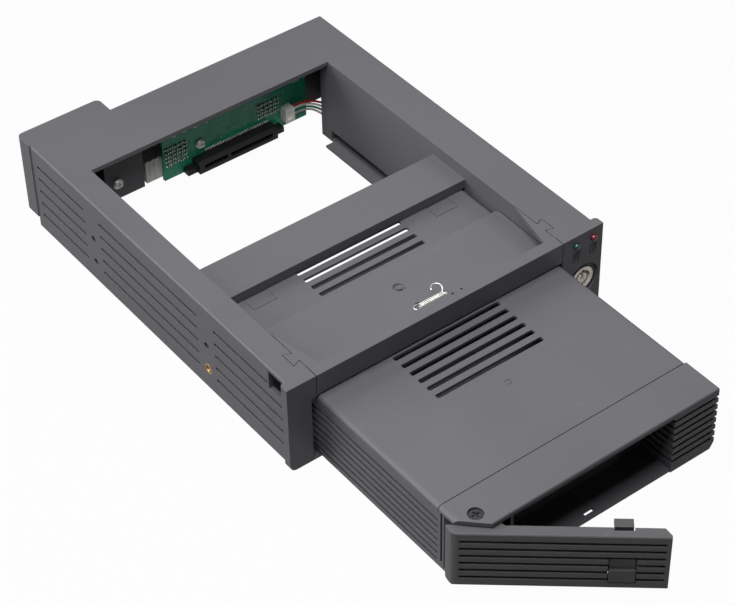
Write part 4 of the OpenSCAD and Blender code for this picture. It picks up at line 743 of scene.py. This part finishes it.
ROUTES = (
    Route(
        "lead_red", "lamp_red", 1,
        rear=((-27.8, -2, 14.3), (-24.5, -1.8, 14.1), (-20.5, -1.4, 13.2), (-17, -1.4, 11.9),
              (-13.6, -2.4, 10.4), (-10.8, -5, 9), (-8.8, -9.4, 7.4)),
        rail=((-8.2, 144, 5.8), (-7.4, 136, 3.8), (-7, 126, 2.2), (-7, 100, 2), (-7, 70, 2),
              (-7, 46, 2.2), (-6.8, 36, 6), (-6, 29, 14), (-4.6, 24, 24), (-3.4, 19, 32),
              (-2.7, 13, 36.6)),
    ),
    Route(
        "lead_white", "lamp_red", -1,
        rear=((-27.8, -2, 12.9), (-24.5, -1.8, 12.7), (-20.5, -1.4, 11.8), (-17, -1.5, 10.5),
              (-13.9, -2.8, 9), (-11.6, -5.8, 7.6), (-10.1, -10, 6.2)),
        rail=((-9.5, 144, 4.9), (-8.7, 136, 3.3), (-8.3, 126, 2), (-8.3, 100, 1.8),
              (-8.3, 70, 1.8), (-8.3, 46, 2), (-8.1, 36, 6), (-7.3, 29, 14), (-5.9, 24, 24),
              (-4.7, 19, 31.6), (-3.9, 13, 35.2)),
    ),
    Route(
        "lead_green", "lamp_green", 1,
        rear=((-27.8, -2, 11.5), (-24.5, -1.8, 11.3), (-20.5, -1.4, 10.4), (-17, -1.6, 9.1),
              (-14.2, -3.2, 7.6), (-12.4, -6.6, 6.2), (-11.4, -10.8, 5)),
        rail=((-10.8, 144, 4), (-10, 136, 2.9), (-9.6, 126, 1.9), (-9.6, 100, 1.7),
              (-9.6, 70, 1.7), (-9.6, 46, 1.9), (-9.6, 37, 6), (-9.8, 30.6, 14), (-10.4, 26, 24),
              (-11, 20.6, 32), (-11.2, 14, 36.6)),
    ),
    Route(
        "lead_grey", "lamp_green", -1,
        rear=((-27.8, -2, 10.1), (-24.5, -1.8, 9.9), (-20.5, -1.4, 9), (-17, -1.7, 7.7),
              (-14.6, -3.6, 6.2), (-13.2, -7.4, 4.8), (-12.6, -11.6, 3.8)),
        rail=((-12.1, 144, 3.1), (-11.3, 136, 2.4), (-10.9, 126, 1.7), (-10.9, 100, 1.6),
              (-10.9, 70, 1.6), (-10.9, 46, 1.8), (-10.9, 38, 6), (-11.1, 31.8, 14),
              (-11.7, 27.2, 24), (-12.3, 21.8, 31.4), (-12.5, 15, 35)),
    ),
)


@dataclass(frozen=True)
class LampLeads:
    """The four insulated leads, from the plug behind the tray to the two lamps' legs.

    A lead comes to its leg at leg_near from the frame's zero and ends at leg_end. One that
    goes to a lower leg comes from lower_aside to the left and lower_back further back.
    """

    radius: float = 0.5
    rings: int = 420
    sides: int = 14
    leg_from_middle: float = 0.9
    leg_near: float = 8.4
    leg_end: float = 4.0
    lower_aside: float = 0.5
    lower_back: float = 0.4

    def build(self, wardrobe: Wardrobe) -> None:
        """Makes the leads in place of the CAD's.

        Args:
            wardrobe: What makes and finishes each piece.
        """
        for route in ROUTES:
            lead = wardrobe.new_piece(f"fine_{route.node}", self._lead(route), route.node)
            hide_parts(route.node)

    def _lead(self, route: Route) -> Shape:
        """Returns one lead, a circle carried along its route."""
        right_x, board_y = box_of("brass_inserts")[1, 0], box_of("circuit_board")[0, 1]
        x, _, lamp_z = box_of(route.lamp).mean(axis=0)
        z = lamp_z + route.leg * self.leg_from_middle
        aside, back = (self.lower_aside, self.lower_back) if route.leg < 0 else (0.0, 0.0)
        rear = np.array(route.rear) + (right_x, board_y, 0.0)
        rail = np.array(route.rail) + (right_x, 0.0, 0.0)
        end = np.array([(x - aside, self.leg_near + back, z), (x, self.leg_end, z)])
        line = Path(np.concatenate([rear, rail, end])).sampled(self.rings)
        return swept_round(line, self.radius, self.sides)


@dataclass(frozen=True)
class FlapSpring:
    """The flap's spring: loop, coil and hook in one wire round its post.

    The loop's points are from where the coil starts and the hook's from where it ends.
    """

    wire_r: float = 0.225
    coil_r: float = 1.425
    coil_in: float = 1.8
    pitch: float = 0.9
    turns: int = 13
    turn_points: int = 28
    rings: int = 1500
    sides: int = 12
    loop: tuple[Triple, ...] = (
        (-1.2, -1.75, 1.7), (-2.2, -2.1, 1.7), (-3.1, -1.6, 1.7), (-3.3, -0.6, 1.7),
        (-2.7, 0.3, 1.7), (-1.7, 0.5, 1.7), (-0.8, 0.9, 1.4),
    )
    hook: tuple[Triple, ...] = (
        (0.5, 1.8, 0.8), (1.1, 3, 1.5), (1, 4.3, 1.7), (0.3, 5.3, 1.8),
        (-0.8, 5.8, 1.8), (-2, 5.5, 1.7), (-2.8, 4.7, 1.5), (-3.2, 3.8, 1.2),
    )

    def build(self, wardrobe: Wardrobe) -> None:
        """Makes the spring in place of the CAD's.

        Args:
            wardrobe: What makes and finishes each piece.
        """
        spring = wardrobe.new_piece(Form.SPRING.value, self._wire(), "spring_wire")
        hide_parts("flap_spring")

    def _wire(self) -> Shape:
        """Returns the wire, a circle carried along the loop, the coil and the hook.

        The coil is the helix x = pitch t, y = r cos(2 pi t), z = r sin(2 pi t) for t from 0
        to the number of turns, on the post's axis.
        """
        post = box_of("spring_post")
        _, post_y, post_z = post.mean(axis=0)
        t = np.linspace(0.0, self.turns, self.turns * self.turn_points + 1)
        y, z = self.coil_r * np.cos(2 * np.pi * t), self.coil_r * np.sin(2 * np.pi * t)
        coil = np.stack([self.pitch * t, y, z], axis=-1)
        hook = np.array(self.hook) + (self.pitch * self.turns, 0.0, 0.0)
        line = np.concatenate([np.array(self.loop), coil, hook])
        line += (post[0, 0] + self.coil_in, post_y, post_z)
        return swept_round(Path(line).sampled(self.rings), self.wire_r, self.sides)


@dataclass(frozen=True)
class ChipField:
    """A field of small parts: its lower left corner on the board, its columns and its rows."""

    x: float
    z: float
    columns: int
    rows: int


@dataclass(frozen=True)
class BoardSolder:
    """The solder on the board and the tinned ends of its small parts.

    Places are from the board's lower left corner. A part's size and the distances between
    parts are along X and Z, and every third part, counted along both, is a thick one.
    """

    fields: tuple[ChipField, ...] = (ChipField(1.0, 7.0, 5, 5), ChipField(48.1, 9.5, 5, 4))
    chip_pitch: Pair = (2.3, 2.1)
    chip_size: Pair = (1.5, 0.9)
    chip_t: float = 0.6
    thick_chip_t: float = 0.9
    thick_every: int = 3
    cap_in: float = 0.2
    cap_half: Pair = (0.26, 0.52)
    cap_proud: float = 0.05
    cap_power: float = 0.3
    joint_count: int = 26
    joint_pitch: float = 1.27
    joint_half: Triple = (0.46, 0.48, 0.62)
    joint_power: float = 0.8
    joint_up: float = 0.85
    joint_proud: float = 0.12
    contact_half: float = 0.35
    ring_count: int = 4
    ring_pitch: float = 5.4
    ring_in: float = 6.3
    ring_up: float = 21.4
    ring_r: float = 1.05
    ring_half: Pair = (0.28, 0.2)
    ring_grid: tuple[int, int] = (41, 12)

    def build(self, wardrobe: Wardrobe) -> None:
        """Makes the caps, the row of joints and the rings.

        Args:
            wardrobe: What makes and finishes each piece.
        """
        for form, shape in (
            (Form.CHIP_ENDS, self._chip_ends()),
            (Form.SOLDER, self._joints()),
            (Form.RINGS, self._rings()),
        ):
            wardrobe.new_piece(form.value, shape, "bright_steel", wardrobe.tinned)

    def _chips(self) -> Array:
        """Returns the small parts' lower left corners and thicknesses, one row each."""
        rows = []
        for chips in self.fields:
            i, j = np.meshgrid(np.arange(chips.columns), np.arange(chips.rows), indexing="ij")
            thick = np.where((i + j) % self.thick_every == 0, self.thick_chip_t, self.chip_t)
            x, z = chips.x + i * self.chip_pitch[0], chips.z + j * self.chip_pitch[1]
            rows.append(np.stack([x, z, thick], axis=-1).reshape(-1, 3))
        return np.concatenate(rows)

    def _chip_ends(self) -> Shape:
        """Returns the tinned caps at both ends of each small part, as rounded blocks."""
        board_x, board_y, board_z = box_of("circuit_board")[0]
        left, low, thick = self._chips().T
        y, z = board_y - thick / 2, board_z + low + self.chip_size[1] / 2
        across = (self.cap_in, self.chip_size[0] - self.cap_in)
        centres = np.concatenate([np.stack([board_x + left + a, y, z], axis=-1) for a in across])
        half_x, half_z = (np.full_like(thick, half) for half in self.cap_half)
        halves = np.stack([half_x, thick / 2 + self.cap_proud, half_z], axis=-1)
        return repeated(rounded_block(self.cap_power), centres, np.tile(halves, (len(across), 1)))

    def _joints(self) -> Shape:
        """Returns the row of soldered joints above the socket, as rounded blocks.

        The last joint is over the middle of the socket's last contact, and the others go
        left from there by the pitch.
        """
        board_y = box_of("circuit_board")[0, 1]
        last = box_of("drive_socket_contacts")[1, 0] - self.contact_half
        x = last - self.joint_pitch * np.arange(self.joint_count)[::-1]
        y = np.full_like(x, board_y - self.joint_proud)
        z = np.full_like(x, box_of("drive_socket")[1, 2] + self.joint_up)
        centres = np.stack([x, y, z], axis=-1)
        return repeated(rounded_block(self.joint_power), centres, np.array(self.joint_half))

    def _rings(self) -> Shape:
        """Returns the four solder rings near the board's top.

        Each is the torus x = (R + a cos v) cos u, z = (R + a cos v) sin u, y = b sin v.
        """
        board_x, board_y, board_z = box_of("circuit_board")[0]
        steps, sides = self.ring_grid
        u = np.linspace(0.0, 2 * np.pi, steps)[:, None]
        v = np.linspace(0.0, 2 * np.pi, sides, endpoint=False)[None, :]
        across = self.ring_r + self.ring_half[0] * np.cos(v)
        proud = self.ring_half[1] * np.sin(v) + 0 * u
        ring = np.stack([across * np.cos(u), proud, across * np.sin(u)], axis=-1).reshape(-1, 3)
        x = board_x + self.ring_in + self.ring_pitch * np.arange(self.ring_count)
        y, z = np.full_like(x, board_y), np.full_like(x, board_z + self.ring_up)
        return repeated((ring, grid_faces(steps, sides)), np.stack([x, y, z], axis=-1))


@dataclass(frozen=True)
class InsertThreads:
    """The threads inside the brass inserts of both rails."""

    length: float = 5.5
    end_gap: float = 0.1
    bore_r: float = 1.48
    ridge: float = 0.16
    pitch: float = 0.5
    rings: int = 100
    sides: int = 36

    def build(self, wardrobe: Wardrobe) -> None:
        """Makes both threads as one piece.

        Args:
            wardrobe: What makes and finishes each piece.
        """
        wardrobe.new_piece(Form.THREADS.value, self._threads(), "brass")

    def _threads(self) -> Shape:
        """Returns both threads.

        Each is a cylinder along X whose radius falls from the bore's by a ridge that rises
        once per pitch and turns once round the axis in each pitch.
        """
        inserts = box_of("brass_inserts")
        _, y, z = inserts.mean(axis=0)
        along = np.linspace(self.end_gap, self.length - self.end_gap, self.rings)[:, None]
        turn = np.linspace(0.0, 2 * np.pi, self.sides, endpoint=False)[None, :]
        ridge = np.abs(((along / self.pitch - turn / (2 * np.pi)) % 1.0) * 2 - 1)
        radius = self.bore_r - self.ridge * ridge
        across, up = y + radius * np.cos(turn), z + radius * np.sin(turn)
        inwards = inserts[1, 0] - along + 0 * turn
        bores = [np.stack([side * inwards, across, up], axis=-1) for side in (-1.0, 1.0)]
        faces = grid_faces(self.rings, self.sides)
        faces = np.concatenate([faces, faces + self.rings * self.sides])
        return np.concatenate(bores).reshape(-1, 3), faces


@dataclass(frozen=True)
class PhotoCamera:
    """The camera fitted to the photograph, in degrees and metres, with its lens in millimetres."""

    azimuth: float = -36.507
    elevation: float = 41.886
    roll: float = 1.302
    target: Triple = (-0.009694, 0.03442, 0.020)
    distance: float = 0.876642
    lens: float = 111.74
    sensor: float = 36.0
    nearest: float = 0.01
    farthest: float = 20.0

    def build(self) -> None:
        """Makes the camera: it looks back along the sight line, turned by the roll."""
        a, e, r = (math.radians(v) for v in (self.azimuth, self.elevation, self.roll))
        back = Vector((math.sin(a) * math.cos(e), -math.cos(a) * math.cos(e), math.sin(e)))
        level = Vector((math.cos(a), math.sin(a), 0.0))
        upright = back.cross(level)
        right = level * math.cos(r) - upright * math.sin(r)
        up = level * math.sin(r) + upright * math.cos(r)
        data = bpy.data.cameras.new("photo camera")
        data.lens, data.sensor_width = self.lens, self.sensor
        data.clip_start, data.clip_end = self.nearest, self.farthest
        camera = bpy.data.objects.new("photo camera", data)
        turn = Matrix((right, up, back)).transposed().to_4x4()
        camera.matrix_world = Matrix.Translation(Vector(self.target) + back * self.distance) @ turn
        bpy.context.scene.collection.objects.link(camera)
        bpy.context.scene.camera = camera


@dataclass(frozen=True)
class SoftBox:
    """One soft lamp aimed at the rack, in metres and watts."""

    name: str
    place: Triple
    aim: Triple
    size: Pair
    watts: float

    def build(self) -> None:
        """Makes the lamp."""
        data = bpy.data.lights.new(self.name, "AREA")
        data.shape = "RECTANGLE"
        data.size, data.size_y = self.size
        data.energy = self.watts
        lamp = bpy.data.objects.new(self.name, data)
        lamp.location = self.place
        sight = Vector(self.place) - Vector(self.aim)
        lamp.rotation_euler = sight.to_track_quat("Z", "Y").to_euler()
        bpy.context.scene.collection.objects.link(lamp)


@dataclass(frozen=True)
class Studio:
    """Floor, world, lamps and camera.

    The camera sees the world and the floor as white. The two mirrored levels are what
    reflections see of them, the world's own level is what lights the rack, and the floor
    throws light back as paper of its grey does.
    """

    floor_half: float = 3.0
    floor_grey: float = 0.3
    floor_white: float = 0.97
    floor_mirrored: float = 0.4
    world_level: float = 0.03
    world_mirrored: float = 0.3
    camera: PhotoCamera = PhotoCamera()
    lamps: tuple[SoftBox, ...] = (
        SoftBox("key box", (-1.1, 0.95, 0.5), (0.0, 0.0, 0.0), (1.0, 1.0), 19.0),
        SoftBox("top box", (-0.15, -0.05, 0.6), (0.0, -0.05, 0.0), (0.4, 0.4), 5.2),
        SoftBox("rear box", (0.87, 0.87, 0.87), (0.0, 0.0, 0.0), (1.0, 1.0), 3.5),
    )

    def build(self) -> None:
        """Builds the whole studio."""
        bpy.context.scene.view_settings.view_transform = "Standard"
        self._world()
        self._floor()
        self.camera.build()
        for lamp in self.lamps:
            lamp.build()

    def _world(self) -> None:
        """Makes a faint even light that the camera sees as white."""
        world = bpy.data.worlds.new("studio world")
        graph = emptied(world)
        path = graph.add("ShaderNodeLightPath").outputs
        mirrored = graph.math("MAXIMUM", path["Is Glossy Ray"], path["Is Transmission Ray"])
        unseen = graph.ramp(mirrored, (0.0, 1.0), (self.world_level, self.world_mirrored))
        strength = graph.math("MAXIMUM", path["Is Camera Ray"], unseen)
        sky = graph.add("ShaderNodeBackground", {"Color": WHITE, "Strength": strength})
        graph.add("ShaderNodeOutputWorld", {0: sky.outputs[0]})
        bpy.context.scene.world = world

    def _floor(self) -> None:
        """Makes the pale floor, which shows white where no shadow falls."""
        h = self.floor_half
        corners = [(-h, -h, 0.0), (h, -h, 0.0), (h, h, 0.0), (-h, h, 0.0)]
        mesh = bpy.data.meshes.new("floor")
        mesh.from_pydata(corners, [], [(0, 1, 2, 3)])
        floor = bpy.data.objects.new("floor", mesh)
        material = bpy.data.materials.new("studio floor")
        graph = emptied(material)
        grey = (self.floor_grey, self.floor_grey, self.floor_grey, 1.0)
        paper = graph.add("ShaderNodeBsdfDiffuse", {"Color": grey})
        path = graph.add("ShaderNodeLightPath").outputs
        level = graph.ramp(path["Is Camera Ray"], (0.0, 1.0), (self.floor_mirrored, 1.0))
        white = graph.add("ShaderNodeEmission", {"Color": WHITE, "Strength": level})
        mirrored = graph.math("MAXIMUM", path["Is Glossy Ray"], path["Is Transmission Ray"])
        seen = graph.math("MAXIMUM", path["Is Camera Ray"], mirrored)
        share = graph.math("MULTIPLY", seen, self.floor_white)
        shares = {0: share, 1: paper.outputs[0], 2: white.outputs[0]}
        mixed = graph.add("ShaderNodeMixShader", shares)
        graph.add("ShaderNodeOutputMaterial", {0: mixed.outputs[0]})
        mesh.materials.append(material)
        bpy.context.scene.collection.objects.link(floor)


def main() -> None:
    """Dresses the rack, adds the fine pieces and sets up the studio."""
    logging.basicConfig(level=logging.INFO, format="%(name)s: %(message)s")
    wardrobe = Wardrobe()
    wardrobe.dress_frame()
    for assembly in (LampLeads(), FlapSpring(), BoardSolder(), InsertThreads()):
        assembly.build(wardrobe)
    Studio().build()


if __name__ == "__main__":
    main()
